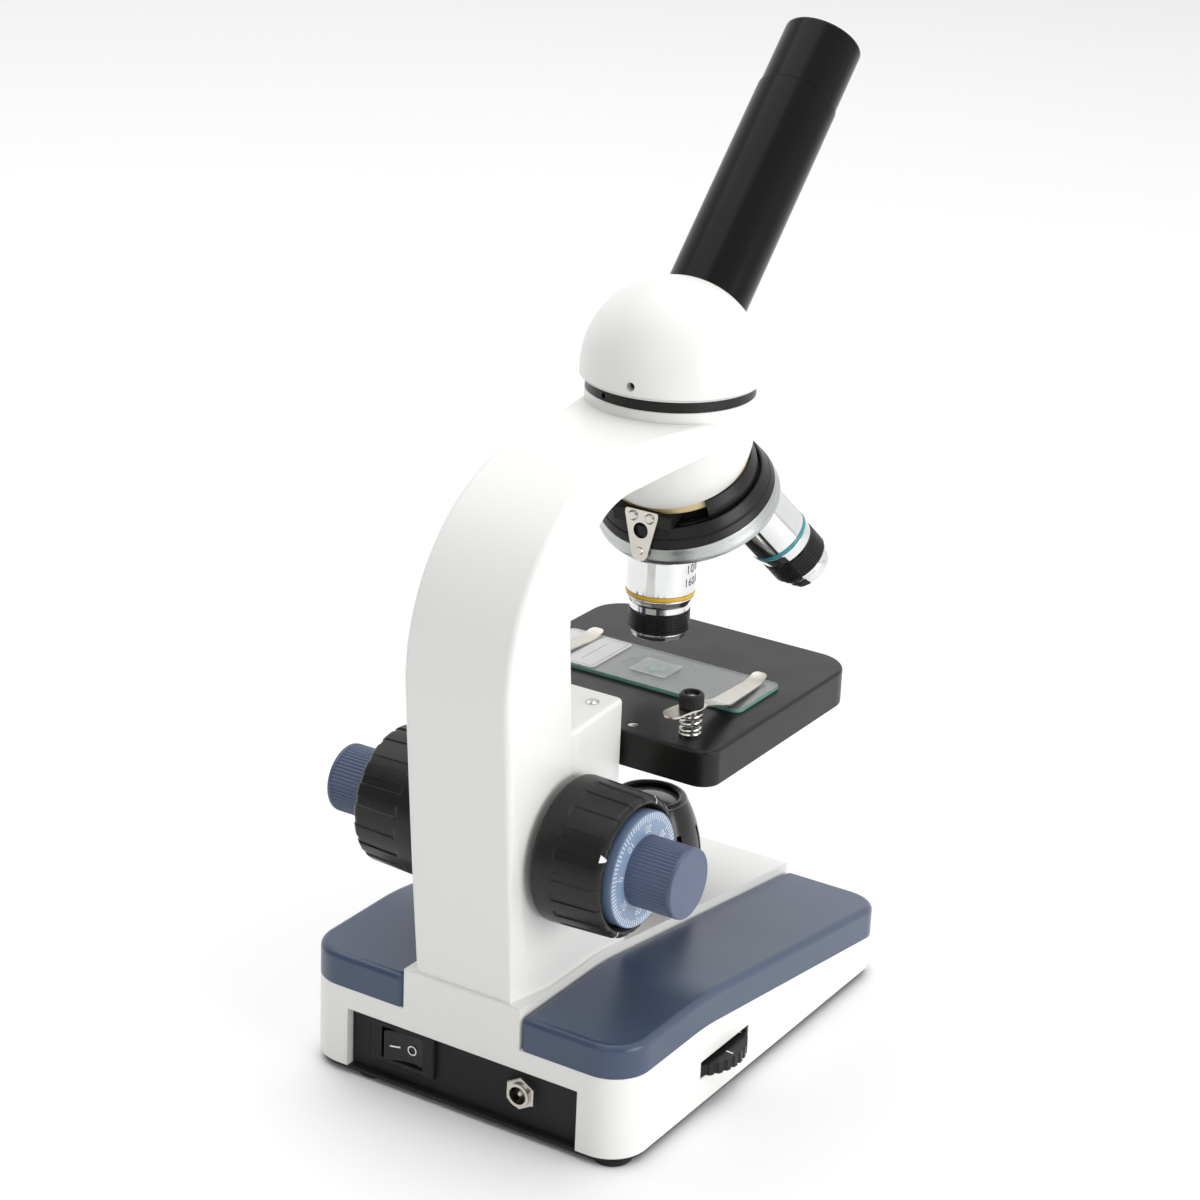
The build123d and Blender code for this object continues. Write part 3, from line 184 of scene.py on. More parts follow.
BLUE_SCALE = surface("blue_scale", (0.24, 0.33, 0.48), 0.42, variation=0.05, patch=50.0,
                     grain=1800.0, grain_height=0.000008)
WHITE_MARK = surface("white_mark", (0.8, 0.82, 0.84), 0.5, variation=0.05, patch=300.0)
DARK_MARK = surface("dark_mark", (0.03, 0.03, 0.035), 0.5, variation=0.1, patch=300.0)
YELLOW = surface("yellow_band", (0.72, 0.43, 0.02), 0.25, variation=0.06, patch=90.0)
TEAL = surface("teal_band", (0.03, 0.25, 0.31), 0.25, variation=0.06, patch=90.0)
RED = surface("red_band", (0.5, 0.03, 0.025), 0.25, variation=0.06, patch=90.0)
PAPER = surface("paper", (0.72, 0.72, 0.72), 0.7, variation=0.04, patch=90.0, grain=2500.0,
                grain_height=0.00002)
GREY_INK = surface("grey_ink", (0.3, 0.3, 0.31), 0.6, variation=0.15, patch=900.0)
BOARD = surface("circuit_board", (0.02, 0.13, 0.05), 0.4, variation=0.2, patch=90.0)
GLASS = clear_glass("glass", (0.93, 0.97, 0.95))
SLIDE_GLASS = clear_glass("slide_glass", (0.93, 0.97, 0.95), clearness=0.88)
SLIDE_EDGE = surface("slide_edge", (0.18, 0.42, 0.34), 0.2, variation=0.1, patch=60.0)
LAMP_BEZEL = surface("lamp_bezel", (0.05, 0.05, 0.049), 0.2, variation=0.06, patch=60.0,
                     grain=400.0, grain_height=0.000002)
LAMP_GLASS = surface("lamp_glass", (0.2, 0.2, 0.195), 0.18, variation=0.06, patch=60.0,
                     grain=400.0, grain_height=0.000002, coat=0.5)
STAIN = surface("stain", (0.1, 0.33, 0.25), 0.3, variation=0.45, patch=600.0, grain=3000.0,
                grain_height=0.00001, coat=0.6)


# ---------------------------------------------------------------- mesh helpers
def placed(origin, along, across):
    """A frame whose local z runs along an axis and whose local x points across it."""
    z = Vector(along).normalized()
    x = Vector(across)
    x = (x - z * x.dot(z)).normalized()
    matrix = Matrix((x, z.cross(x), z)).transposed().to_4x4()
    matrix.translation = Vector(origin)
    return matrix


def softened(points, fillet, closed=False):
    """Round the corners of a profile of (radius, distance) or (radius, distance, fillet)."""
    result = []
    count = len(points)
    for index, point in enumerate(points):
        corner = Vector(point[:2])
        reach = point[2] if len(point) > 2 else fillet
        if reach == 0 or (not closed and index in (0, count - 1)):
            result.append(corner)
            continue
        before = Vector(points[index - 1][:2]) - corner
        after = Vector(points[(index + 1) % count][:2]) - corner
        reach = min(reach, 0.45 * before.length, 0.45 * after.length)
        start = corner + before.normalized() * reach
        end = corner + after.normalized() * reach
        for step in range(4):
            t = step / 3
            result.append(start * (1 - t) ** 2 + corner * (2 * t * (1 - t)) + end * t * t)
    return result


def lathe(place, profile, steps=96, fillet=0.15, closed=False, cut=None, angles=None):
    """Revolve a profile about the local z axis. cut(angle, radius, distance) gives a radius."""
    outline = softened(profile, fillet, closed)
    angles = angles or [2 * pi * i / steps for i in range(steps)]
    steps = len(angles)
    points, faces, grain, rows = [], [], [], []
    for r, s in outline:
        if r < 1e-6:
            rows.append([len(points)])
            points.append(place @ Vector((0, 0, s)))
            grain.append((0, 0, s))
            continue
        rows.append(list(range(len(points), len(points) + steps)))
        for a in angles:
            radius = cut(a, r, s) if cut else r
            points.append(place @ Vector((radius * cos(a), radius * sin(a), s)))
            grain.append((r * cos(a) * 0.12, r * sin(a) * 0.12, s + r))
    spans = list(zip(rows, rows[1:])) + ([(rows[-1], rows[0])] if closed else [])
    for low, high in spans:
        for i in range(steps):
            j = (i + 1) % steps
            if len(low) == 1 and len(high) == 1:
                continue
            if len(low) == 1:
                faces.append((low[0], high[j], high[i]))
            elif len(high) == 1:
                faces.append((low[i], low[j], high[0]))
            else:
                faces.append((low[i], low[j], high[j], high[i]))
    return points, faces, grain


def prism(place, outline, low, high, fillet=0.0):
    """Extrude a convex or concave outline of (x, y) between two heights, with softened rims."""
    rims = [(low, fillet), (low + fillet, 0), (high - fillet, 0), (high, fillet)]
    if not fillet:
        rims = [(low, 0), (high, 0)]
    count = len(outline)
    centre = sum((Vector(p) for p in outline), Vector((0, 0))) / count
    points, faces = [], []
    for z, inset in rims:
        for p in outline:
            inward = centre - Vector(p)
            moved = Vector(p) + inward.normalized() * inset if inset else Vector(p)
            points.append(place @ Vector((*moved, z)))
    for row in range(len(rims) - 1):
        for i in range(count):
            j = (i + 1) % count
            base = row * count
            faces.append((base + i, base + j, base + count + j, base + count + i))
    faces.append(tuple(range(count - 1, -1, -1)))
    top = (len(rims) - 1) * count
    faces.append(tuple(range(top, top + count)))
    return points, faces, [tuple(p) for p in points]


def merged(parts):
    """Join several (points, faces, grain) into one."""
    points, faces, grain = [], [], []
    for more_points, more_faces, more_grain in parts:
        start = len(points)
        points.extend(more_points)
        faces.extend(tuple(i + start for i in face) for face in more_faces)
        grain.extend(more_grain)
    return points, faces, grain


def piece(name, built, paint, body, replaced=(), sharp=38.0):
    """Make an object from (points, faces, grain) and declare what it is."""
    points, faces, grain = built
    mesh = bpy.data.meshes.new(name)
    mesh.from_pydata([p * MM for p in points], [], faces)
    attribute = mesh.attributes.new("grain", "FLOAT_VECTOR", "POINT")
    attribute.data.foreach_set("vector", [c for g in grain for c in g])
    mesh.materials.append(paint)
    mesh.shade_smooth()
    mesh.set_sharp_from_angle(angle=radians(sharp))
    obj = bpy.data.objects.new(name, mesh)
    bpy.context.scene.collection.objects.link(obj)
    bpy.context.view_layer.objects.active = obj
    obj.select_set(True)
    bpy.ops.object.mode_set(mode="EDIT")
    bpy.ops.mesh.select_all(action="SELECT")
    bpy.ops.mesh.normals_make_consistent(inside=False)
    bpy.ops.object.mode_set(mode="OBJECT")
    obj.select_set(False)
    weighted = obj.modifiers.new("normals", "WEIGHTED_NORMAL")
    weighted.keep_sharp = True
    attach(obj, body)
    if replaced:
        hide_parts(*replaced)
    return obj


def text_outline(words, size):
    """The filled outline of some characters as points and faces, centred, in a flat plane."""
    curve = bpy.data.curves.new("words", "FONT")
    curve.body = words
    curve.size = size
    curve.align_x = "CENTER"
    curve.align_y = "CENTER"
    curve.resolution_u = 3
    holder = bpy.data.objects.new("words", curve)
    bpy.context.scene.collection.objects.link(holder)
    bpy.context.view_layer.update()
    graph = bpy.context.evaluated_depsgraph_get()
    mesh = bpy.data.meshes.new_from_object(holder.evaluated_get(graph))
    points = [v.co.copy() for v in mesh.vertices]
    faces = [tuple(f.vertices) for f in mesh.polygons]
    bpy.data.objects.remove(holder)
    bpy.data.curves.remove(curve)
    bpy.data.meshes.remove(mesh)
    return points, faces


def flat_text(place, words, size):
    """Characters lying in a frame's local xy plane."""
    points, faces = text_outline(words, size)
    moved = [place @ p for p in points]
    return moved, faces, [tuple(p) for p in moved]


def wrapped_text(place, words, size, radius, angle, height):
    """Characters wrapped round a frame's local z axis."""
    points, faces = text_outline(words, size)
    moved = []
    for p in points:
        a = angle + p.x / radius
        moved.append(place @ Vector((radius * cos(a), radius * sin(a), height + p.y)))
    return moved, faces, [tuple(p) for p in moved]


def quad(corners):
    """One flat face."""
    return [Vector(c) for c in corners], [tuple(range(len(corners)))], [tuple(c) for c in corners]


def paint_sides(obj, paint):
    """Give the upright faces of a flat piece a second material."""
    obj.data.materials.append(paint)
    for face in obj.data.polygons:
        if abs(face.normal.z) < 0.5:
            face.material_index = 1


def outlined(place, outline, width):
    """A flat line of some width that follows the inside of a closed outline."""
    count = len(outline)
    centre = sum((Vector(p) for p in outline), Vector((0, 0))) / count
    points, faces = [], []
    for p in outline:
        inner = Vector(p) + (centre - Vector(p)).normalized() * width
        points += [place @ Vector((*p, 0)), place @ Vector((*inner, 0))]
    for i in range(count):
        j = (i + 1) % count
        faces.append((2 * i, 2 * j, 2 * j + 1, 2 * i + 1))
    return points, faces, [tuple(p) for p in points]


def keep(paint, *names):
    """Give CAD nodes a finished material."""
    for name in names:
        slots = nodes[name].data.materials
        slots.clear()
        slots.append(paint)


# ---------------------------------------------------------------- CAD nodes that stay
keep(WHITE, "base_shell", "arm", "head_dome")
keep(COVER, "side_covers")
keep(BLACK_MATT, "bottom_plate", "rear_panel", "switch_housing")
keep(BLACK_PAINT, "condenser_mount", "head_ring", "nosepiece_base", "stage_plate",
     "stage_bracket", "diaphragm_disc")
keep(BLACK_GLOSS, "lamp_housing")
keep(RUBBER, "rubber_feet")
keep(STEEL, "base_screws", "focus_slide", "coarse_shaft", "fine_shaft", "small_screws",
     "turret_bolt", "click_spring", "stage_screws", "jack_nut")
keep(BLACK_MATT, "dome_set_screw")
keep(BRASS, "focus_bearings")
keep(BOARD, "driver_board", "led_board")
keep(LAMP_GLASS, "lamp_lens")
keep(BLACK_KNOB, "brightness_wheel")
keep(STEEL, "dc_jack")
keep(GLASS, "condenser_lens", "front_lenses", "head_prism", "eyepiece_lenses")
keep(CREAM, "nosepiece_washer")

# ---------------------------------------------------------------- focus knobs
RIBS = 20
RIB_PITCH = 2 * pi / RIBS
RIB_CUT = 0.42
COARSE_START = 20.0  # distances from the middle of the instrument
COARSE_LENGTH = 22.4
COARSE_BEVEL = 1.2  # from the flat rim back to the grip
BEVEL_RADIUS = 21.05
RIM_INNER = 18.9
RIM_OUTER = 20.0
FINE_END = 59.6
FINE_RADIUS = 10.45
MARK_LIFT = 0.03


def smooth_step(value):
    """An S-shaped ramp from 0 to 1."""
    value = min(1.0, max(0.0, value))
    return value * value * (3 - 2 * value)


def rib_angles():
    """Angles that fall on the edges of the coarse knob's ribs."""
    shares = (0.0, 0.14, 0.28, 0.42, 0.56, 0.585, 0.61, 0.8, 0.96, 0.98)
    return [(rib + share) * RIB_PITCH for rib in range(RIBS) for share in shares]


def rib_cut(angle, radius, distance):
    """The coarse knob's grooves: they open at its outer face and fade out near the arm."""
    share = (angle / RIB_PITCH) % 1.0
    inside = smooth_step((share - 0.56) / 0.05) * (1 - smooth_step((share - 0.96) / 0.04))
    reach = smooth_step((distance - 6.4) / 0.9)
    return radius - RIB_CUT * inside * reach if radius > 19.4 else radius


def coarse_knob(sign):
    """One coarse knob, from its inner face to the recess in its outer face."""
    place = placed((sign * COARSE_START, KNOB_Y, KNOB_Z), X_AXIS * sign, Y_AXIS)
    ramp = [(22.0 - 0.045 * s, s, 0) for s in (6.2, 6.6, 7.0, 7.4)]
    profile = [(4.0, 0, 0), (21.9, 0, 1.3), *ramp,
               (BEVEL_RADIUS, COARSE_LENGTH - COARSE_BEVEL, 0.5), (RIM_OUTER, COARSE_LENGTH, 0.3),
               (RIM_INNER, COARSE_LENGTH, 0.3), (18.0, 21.0, 0.3), (18.0, 17.0, 0.3),
               (4.0, 17.0, 0)]
    return lathe(place, profile, cut=rib_cut, angles=rib_angles())


piece("coarse_knob_pair", merged([coarse_knob(-1), coarse_knob(1)]), BLACK_KNOB,
      "coarse_drive", ("coarse_knobs",))

INDEX_ANGLES = [radians(27.6 + 90 * k) for k in range(4)]


def index_mark(angle, widths):
    """A white mark on the coarse knob's flat rim and bevel, with its half widths going outwards."""
    radial = Vector((0, cos(angle), sin(angle)))
    side = Vector((0, -sin(angle), cos(angle)))
    hub = Vector((-COARSE_START - COARSE_LENGTH - MARK_LIFT, KNOB_Y, KNOB_Z))
    tip, bend, foot = (side * width for width in widths)
    inner = hub + radial * RIM_INNER
    middle = hub + radial * RIM_OUTER
    outer = hub + radial * BEVEL_RADIUS + X_AXIS * COARSE_BEVEL
    return merged([
        quad([inner - tip, middle - bend, middle + bend, inner + tip]),
        quad([middle - bend, outer - foot, outer + foot, middle + bend]),
    ])


def knob_marks():
    """An arrowhead and three lines on the rim of the coarse knob that carries the scale."""
    arrow = index_mark(INDEX_ANGLES[0], (0.06, 0.6, 1.15))
    return merged([arrow] + [index_mark(a, (0.2, 0.2, 0.2)) for a in INDEX_ANGLES[1:]])


piece("index_marks", knob_marks(), WHITE_MARK, "coarse_drive")

FLUTES = 60


def flute_cut(angle, radius, distance):
    """The fine knob's fine flutes, which stop short of its end."""
    if radius < 10.3 or distance > 13.9 or distance < 0.6:
        return radius
    return radius - 0.3 * abs(sin(angle * FLUTES / 2)) ** 0.7


def fine_knob(sign, start):
    """One fine knob, with its end slightly dished."""
    length = FINE_END - start
    place = placed((sign * start, KNOB_Y, KNOB_Z), X_AXIS * sign, Y_AXIS)

    def cut(angle, radius, distance):
        return flute_cut(angle, radius, distance - (length - 15.2))

    profile = [(2.5, 0, 0), (10.4, 0, 0.2), (FINE_RADIUS, 0.7, 0),
               (FINE_RADIUS, length - 14.5, 0), (FINE_RADIUS, length - 1.5, 0),
               (FINE_RADIUS, length - 1.25, 0), (10.4, length, 0.5), (0, length - 0.1, 0)]
    if length - 14.5 <= 0.8:
        profile.pop(3)
    return lathe(place, profile, steps=FLUTES * 8, cut=cut)


piece("fine_knob_pair", merged([fine_knob(-1, 44.4), fine_knob(1, 38.6)]), BLUE_KNOB,
      "fine_drive", ("fine_knobs",))

SCALE_FACE = -44.4
SCALE_EDGE = 16.8  # radius that the graduations reach
NUMBER_RADIUS = 12.35
NUMBER_SIZE = 3.3
scale_place = placed((-40.6, KNOB_Y, KNOB_Z), -X_AXIS, Y_AXIS)
piece("scale_disc",
      lathe(scale_place, [(2.5, 0, 0), (17.2, 0, 0.3), (17.2, 3.5, 0.2), (17.0, 3.8, 0.1),
                          (2.5, 3.8, 0)], steps=120),
      BLUE_RIM, "fine_drive", ("fine_scale_disc",))
piece("scale_face",
      lathe(scale_place, [(10.3, 3.78, 0), (10.3, 3.84, 0), (16.95, 3.84, 0), (16.95, 3.78, 0)],
            steps=120, closed=True, fillet=0),
      BLUE_SCALE, "fine_drive")

DIVISIONS = 80


def scale_marks():
    """Graduations and numbers on the fine focus scale."""
    parts = []
    hub = Vector((SCALE_FACE - 0.07, KNOB_Y, KNOB_Z))
    for index in range(DIVISIONS):
        angle = radians(8.4) + 2 * pi * index / DIVISIONS
        radial = Vector((0, cos(angle), sin(angle)))
        across = Vector((0, sin(angle), -cos(angle)))
        side = across * -0.16
        inner = 14.0 if index % 10 == 0 else 14.3 if index % 5 == 0 else 14.8
        near, far = hub + radial * inner, hub + radial * SCALE_EDGE
        parts.append(quad([near - side, far - side, far + side, near + side]))
        if index % 10 == 0:
            place = placed(hub + radial * NUMBER_RADIUS, -X_AXIS, across)
            parts.append(flat_text(place, str(index), NUMBER_SIZE))
    return merged(parts)


piece("scale_graduations", scale_marks(), WHITE_MARK, "fine_drive")


# ---------------------------------------------------------------- eyepiece tube
tube_place = placed(TUBE_START, TUBE_UP, X_AXIS)
piece("tube_barrel",
      lathe(tube_place, [(11.65, 19.5, 0), (12.8, 19.5, 0), (12.8, 98.4, 0.25), (11.65, 98.4, 0)],
            steps=128, closed=True, fillet=0),
      TUBE_PAINT, "head", ("eyepiece_tube",))
piece("eyepiece_barrel",
      lathe(tube_place, [(9.6, 62, 0), (11.6, 62, 0.3), (11.6, 98.6, 0), (12.4, 98.6, 0.15),
                         (12.4, 120.3, 1.1), (10.2, 120.3, 0.6), (9.6, 118.8, 0.3),
                         (7.5, 116.3, 0.2), (7.5, 112.3, 0), (9.6, 112.3, 0)],
            steps=128, closed=True),
      TUBE_PAINT, "eyepiece", ("eyepiece_body",))

# ---------------------------------------------------------------- turret
turret_place = placed(MEET, TURRET_DOWN, X_AXIS)
SHOULDER = 43.2
SEAT_RADIUS = SHOULDER * sin(TURRET_TILT)
SEAT_DROP = SHOULDER * cos(TURRET_TILT)


def objective_place(polar):
    """The frame of an objective: z down its axis, x away from the turret's axis."""
    angle = radians(polar)
    spoke = X_AXIS * cos(angle) + TURRET_UP_SIDE * sin(angle)
    along = TURRET_DOWN * cos(TURRET_TILT) + spoke * sin(TURRET_TILT)
    return placed(MEET, along, spoke)


place_10 = objective_place(-90.0)
place_40 = objective_place(150.0)
place_4 = objective_place(30.0)


def barrel(place, end, radius, band, grip_start):
    """An objective's chrome barrel with the groove of its colour band."""
    low, high = band
    return lathe(place, [(4.2, SHOULDER - 4, 0), (8.9, SHOULDER - 4, 0.2), (8.9, SHOULDER, 0),
                         (radius - 0.1, SHOULDER, 0.3), (radius, SHOULDER + 0.4, 0),
                         (radius, low, 0.12),
                         (radius - 0.5, low, 0), (radius - 0.5, high, 0), (radius, high, 0.12),
                         (radius, high + 0.5, 0.2), (9.25, end, 0.5), (9.2, grip_start - 0.3, 0.1),
                         (8.8, grip_start - 0.2, 0), (7.8, grip_start, 0)],
                 steps=128)


def nose(place, start, end, radius, bore):
    """The chrome nose under the grip, with its stepped front and lens bezel."""
    return lathe(place, [(7.8, start, 0), (radius, start, 0.15), (radius, start + 0.6, 0.2),
                         (radius - 0.3, start + 0.8, 0.1), (radius - 0.45, end - 0.4, 0.35),
                         (radius - 1.6, end, 0.3), (bore + 0.8, end, 0.2),
                         (bore, end - 0.9, 0.1), (bore, end - 2.4, 0)], steps=96)


KNURLS = 60


def knurled_grip(place, start, end, radius):
    """A grip covered in small square studs, in rows."""
    rows = int((end - start) / 0.95)
    pitch = (end - start - 0.8) / rows
    profile = [(7.8, start, 0), (radius - 0.3, start, 0), (radius, start + 0.25, 0)]
    for row in range(rows):
        base = start + 0.4 + row * pitch
        profile += [(radius - 0.02, base, 0), (radius, base + 0.2 * pitch, 0),
                    (radius, base + 0.8 * pitch, 0)]
    profile += [(radius, end - 0.25, 0), (radius - 0.3, end, 0), (7.8, end, 0)]

    def cut(angle, r, s):
        inside = start + 0.35 < s < end - 0.35
        if not inside or r < radius - 0.1:
            return r
        in_row = ((s - start - 0.4) / pitch) % 1.0
        share = (angle * KNURLS / (2 * pi)) % 1.0
        stud = 0.1 < in_row < 0.9 and 0.15 < share < 0.85
        return r if stud else r - 0.32

    shares = (0.1, 0.2, 0.8, 0.9)
    angles = [(k + share) * 2 * pi / KNURLS for k in range(KNURLS) for share in shares]
    return lathe(place, profile, cut=cut, angles=angles)


piece("barrel_10x", barrel(place_10, 58.2, 10.6, (54.3, 55.8), 60.8), CHROME, "turret",
      ("objective_10x",))
piece("barrel_40x", barrel(place_40, 62.2, 9.9, (57.2, 58.7), 62.6), CHROME, "turret",
      ("objective_40x",))
piece("barrel_4x", barrel(place_4, 51.4, 10.3, (47.9, 49.3), 52.0), CHROME, "turret",
      ("objective_4x",))
piece("nose_10x", nose(place_10, 67.2, 69.6, 8.9, 2.6), CHROME, "turret")
piece("nose_4x", nose(place_4, 56.5, 58.6, 8.9, 5.4), CHROME, "turret")
piece("nose_40x", lathe(place_40, [(0.9, 62.5, 0), (5.9, 62.5, 0), (5.9, 71.6, 0),
                                   (8.3, 71.6, 0.3), (8.1, 73.4, 0.2), (7.7, 75.0, 0.3),
                                   (5.2, 75.2, 0.2), (3.6, 75.4, 0.2), (1.6, 75.4, 0.1),
                                   (0.9, 74.6, 0)], steps=96),
      CHROME, "sprung_nose", ("objective_40x_nose",))
piece("collar_40x", lathe(place_40, [(8.45, 70.02, 0), (8.9, 70.02, 0.1), (8.9, 71.2, 0.15),
                                     (8.45, 71.4, 0)], steps=96, closed=True),
      CHROME, "turret")
piece("knurled_grips",
      merged([knurled_grip(place_10, 60.8, 67.2, 9.45), knurled_grip(place_40, 62.6, 70.0, 9.45),
              knurled_grip(place_4, 52.0, 56.5, 9.45)]),
      BLACK_GLOSS, "turret", ("objective_grips",), sharp=25.0)


def colour_band(place, low, high, radius):
    """A narrow enamel ring, slightly crowned."""
    middle = (low + high) / 2
    return lathe(place, [(radius - 0.5, low, 0), (radius, low + 0.1, 0.1),
                         (radius + 0.08, middle, 0.3), (radius, high - 0.1, 0.1),
                         (radius - 0.5, high, 0)], steps=96)


piece("yellow_ring", colour_band(place_10, 54.35, 55.75, 10.64), YELLOW, "turret",
      ("band_10x",))
piece("teal_ring", colour_band(place_40, 57.25, 58.65, 9.94), TEAL, "turret",
      ("band_40x",))
piece("red_ring", colour_band(place_4, 47.95, 49.25, 10.32), RED, "turret",
      ("band_4x",))


def engraving(place, power, radius, rows, angle):
    """Magnification and tube length on an objective's barrel."""
    return merged([
        wrapped_text(place, power, 3.9, radius, angle, -rows[0]),
        wrapped_text(place, "160/0.17", 3.7, radius, angle, -rows[1]),
    ])


flip = Matrix.Rotation(pi, 4, "X")
piece("engraved_numbers",
      merged([engraving(place_10 @ flip, "10/0.25", 10.63, (46.2, 50.4), radians(107)),
              engraving(place_40 @ flip, "40/0.65", 9.93, (50.0, 54.0), radians(150)),
              engraving(place_4 @ flip, "4/0.10", 10.33, (45.3, 49.2), radians(60))]),
      DARK_MARK, "turret")

piece("turret_disc_turned",
      lathe(turret_place, [(3.1, 24.0, 0), (19.0, 24.0, 0.1), (19.4, 24.3, 0.1),
                           (19.9, 24.1, 0.1), (21.4, 24.3, 0.1), (21.7, 24.6, 0.1),
                           (22.1, 24.4, 0.1), (23.4, 24.6, 0.1), (23.8, 23.2, 0.15),
                           (24.5, 23.0, 0.3), (26.1, 26.1, 0.1), (25.95, 26.5, 0.1),
                           (26.4, 26.8, 0.1), (27.4, 29.0, 0.25), (27.2, 29.2, 0),
                           (24.0, 29.2, 0), (23.0, 27.0, 0), (8.0, 27.0, 0), (8.0, 31.0, 0),
                           (3.1, 31.0, 0)], steps=160, closed=True),
      BLACK_PAINT, "turret", ("turret_disc",))
piece("turret_skirt",
      lathe(turret_place, [(24.2, 29.2, 0), (27.5, 29.2, 0.15), (27.9, 31.0, 0.1),
                           (28.45, 33.0, 0.4), (28.2, 34.4, 0.3),
                           (7.0, SEAT_DROP + (SEAT_RADIUS - 7.0) * tan(TURRET_TILT), 0.2),
                           (3.1, SEAT_DROP + (SEAT_RADIUS - 7.0) * tan(TURRET_TILT), 0)],
            steps=160),
      TURRET_ALLOY, "turret", ("turret_ring",))

# ---------------------------------------------------------------- stage fittings
CLIP_X = 32.4
CLIP_Y = AXIS_Y + 34.1
CAP_LOW = STAGE_TOP + 9.0
CAP_HIGH = STAGE_TOP + 13.4
CLIP_THICK = 0.5
CLIP_LEVEL = CAP_LOW - CLIP_THICK - 0.1
CAP_KNURLS = 30


def cap_cut(angle, radius, distance):
    """Fine straight knurling on the clip screw's cap."""
    if radius < 3.65:
        return radius
    return radius - 0.18 * abs(sin(angle * CAP_KNURLS / 2))


def clip_cap(sign):
    """The black knurled cap of a clip screw."""
    place = placed((sign * CLIP_X, CLIP_Y, CAP_LOW), Z_AXIS, X_AXIS)
    return lathe(place, [(1.5, 0, 0), (3.7, 0, 0.2), (3.7, 2.8, 0.1), (3.45, 2.95, 0),
                         (3.7, 3.1, 0.1), (3.7, 3.9, 0.3), (3.3, 4.4, 0.3), (2.35, 4.4, 0.25),
                         (2.2, 3.2, 0)],
                 steps=CAP_KNURLS * 6, cut=cap_cut)


def clip_post(sign):
    """The bright screw through the cap, spring and stage."""
    place = placed((sign * CLIP_X, CLIP_Y, 102.0), Z_AXIS, X_AXIS)
    top = CAP_HIGH - 1.0 - 102.0
    return lathe(place, [(0, 0, 0), (1.45, 0, 0.2), (1.45, 12.0, 0), (2.2, 12.0, 0),
                         (2.2, top - 0.3, 0.3), (1.7, top, 0.2), (0, top + 0.2, 0)], steps=48)


piece("clip_caps", merged([clip_cap(-1), clip_cap(1)]), BLACK_PAINT, "stage",
      ("clip_screws",))
piece("clip_posts", merged([clip_post(-1), clip_post(1)]), TURNED_STEEL, "stage")


def coil(sign):
    """A compression spring with its end turns closed."""
    turns, wire, mean = 4.4, 0.55, 2.9
    low, high = STAGE_TOP + wire + 0.05, CLIP_LEVEL - wire - 0.2
    steps, sides = 220, 8
    points, faces, grain = [], [], []
    for i in range(steps + 1):
        t = i / steps
        angle = 2 * pi * turns * t
        lead = smooth_step((t * turns - 0.7) / (turns - 1.4)) * 0.35 + t * 0.65
        centre = Vector((sign * CLIP_X, CLIP_Y, low + (high - low) * lead))
        radial = Vector((cos(angle), sin(angle), 0))
        for k in range(sides):
            a = 2 * pi * k / sides
            p = centre + radial * (mean + wire * cos(a)) + Z_AXIS * wire * sin(a)
            points.append(p)
            grain.append((angle * 0.3, a, 0))
    for i in range(steps):
        for k in range(sides):
            j = (k + 1) % sides
            a, b = i * sides, (i + 1) * sides
            faces.append((a + k, a + j, b + j, b + k))
    faces.append(tuple(range(sides)))
    faces.append(tuple(range(steps * sides, steps * sides + sides)))
    return points, faces, grain


piece("coil_springs", merged([coil(-1), coil(1)]), TURNED_STEEL, "stage",
      ("clip_springs",))

BEND_Y = AXIS_Y + 14.5
TIP_Y = AXIS_Y - 13.4
CLIP_LIFT = SLIDE_TOP + 1.6
# the clip seen from the side, from its turned-up tip to its tail
CLIP_SIDE = softened([(TIP_Y, CLIP_LIFT), (TIP_Y + 5, SLIDE_TOP + 0.2, 2.5),
                      (BEND_Y, CLIP_LIFT, 2.5), (CLIP_Y - 4, CLIP_LEVEL, 1.2),
                      (CLIP_Y + 4, CLIP_LEVEL, 1.0), (CLIP_Y + 10, CLIP_LEVEL - 0.5)], 0)
# and from above: its two edges, as offsets from the screw towards the middle of the stage
CLIP_EDGES = [(TIP_Y, 1.6, 4.1), (TIP_Y + 0.5, 0.9, 4.9), (TIP_Y + 1.4, 0.3, 5.35),
              (BEND_Y, -2.1, 4.4), (CLIP_Y, -3.3, 3.6), (CLIP_Y + 6.6, -1.2, 5.2)]
CLIP_TAIL = Vector((2.0, 6.6))


def between(rows, y):
    """Values along y, from rows of (y, value, ...)."""
    for before, after in zip(rows, rows[1:]):
        if y <= after[0]:
            break
    t = (y - before[0]) / (after[0] - before[0])
    return [a + (b - a) * t for a, b in zip(before[1:], after[1:])]


def clip_rim():
    """The outline of the clip's rear part about the screw, behind the line where it is level."""
    front = CLIP_Y - 4.0
    low, high = between(CLIP_EDGES, front)
    tail = [CLIP_TAIL + Vector((cos(a), sin(a))) * 3.2 for a in (pi * k / 14 for k in range(15))]
    return [Vector((low, -4.0)), Vector(((low + high) / 2, -4.0)), Vector((high, -4.0)),
            Vector((3.6, 0)), Vector((4.4, 3.3)), *tail, Vector((-2.25, 3.3)), Vector((-3.3, 0))]


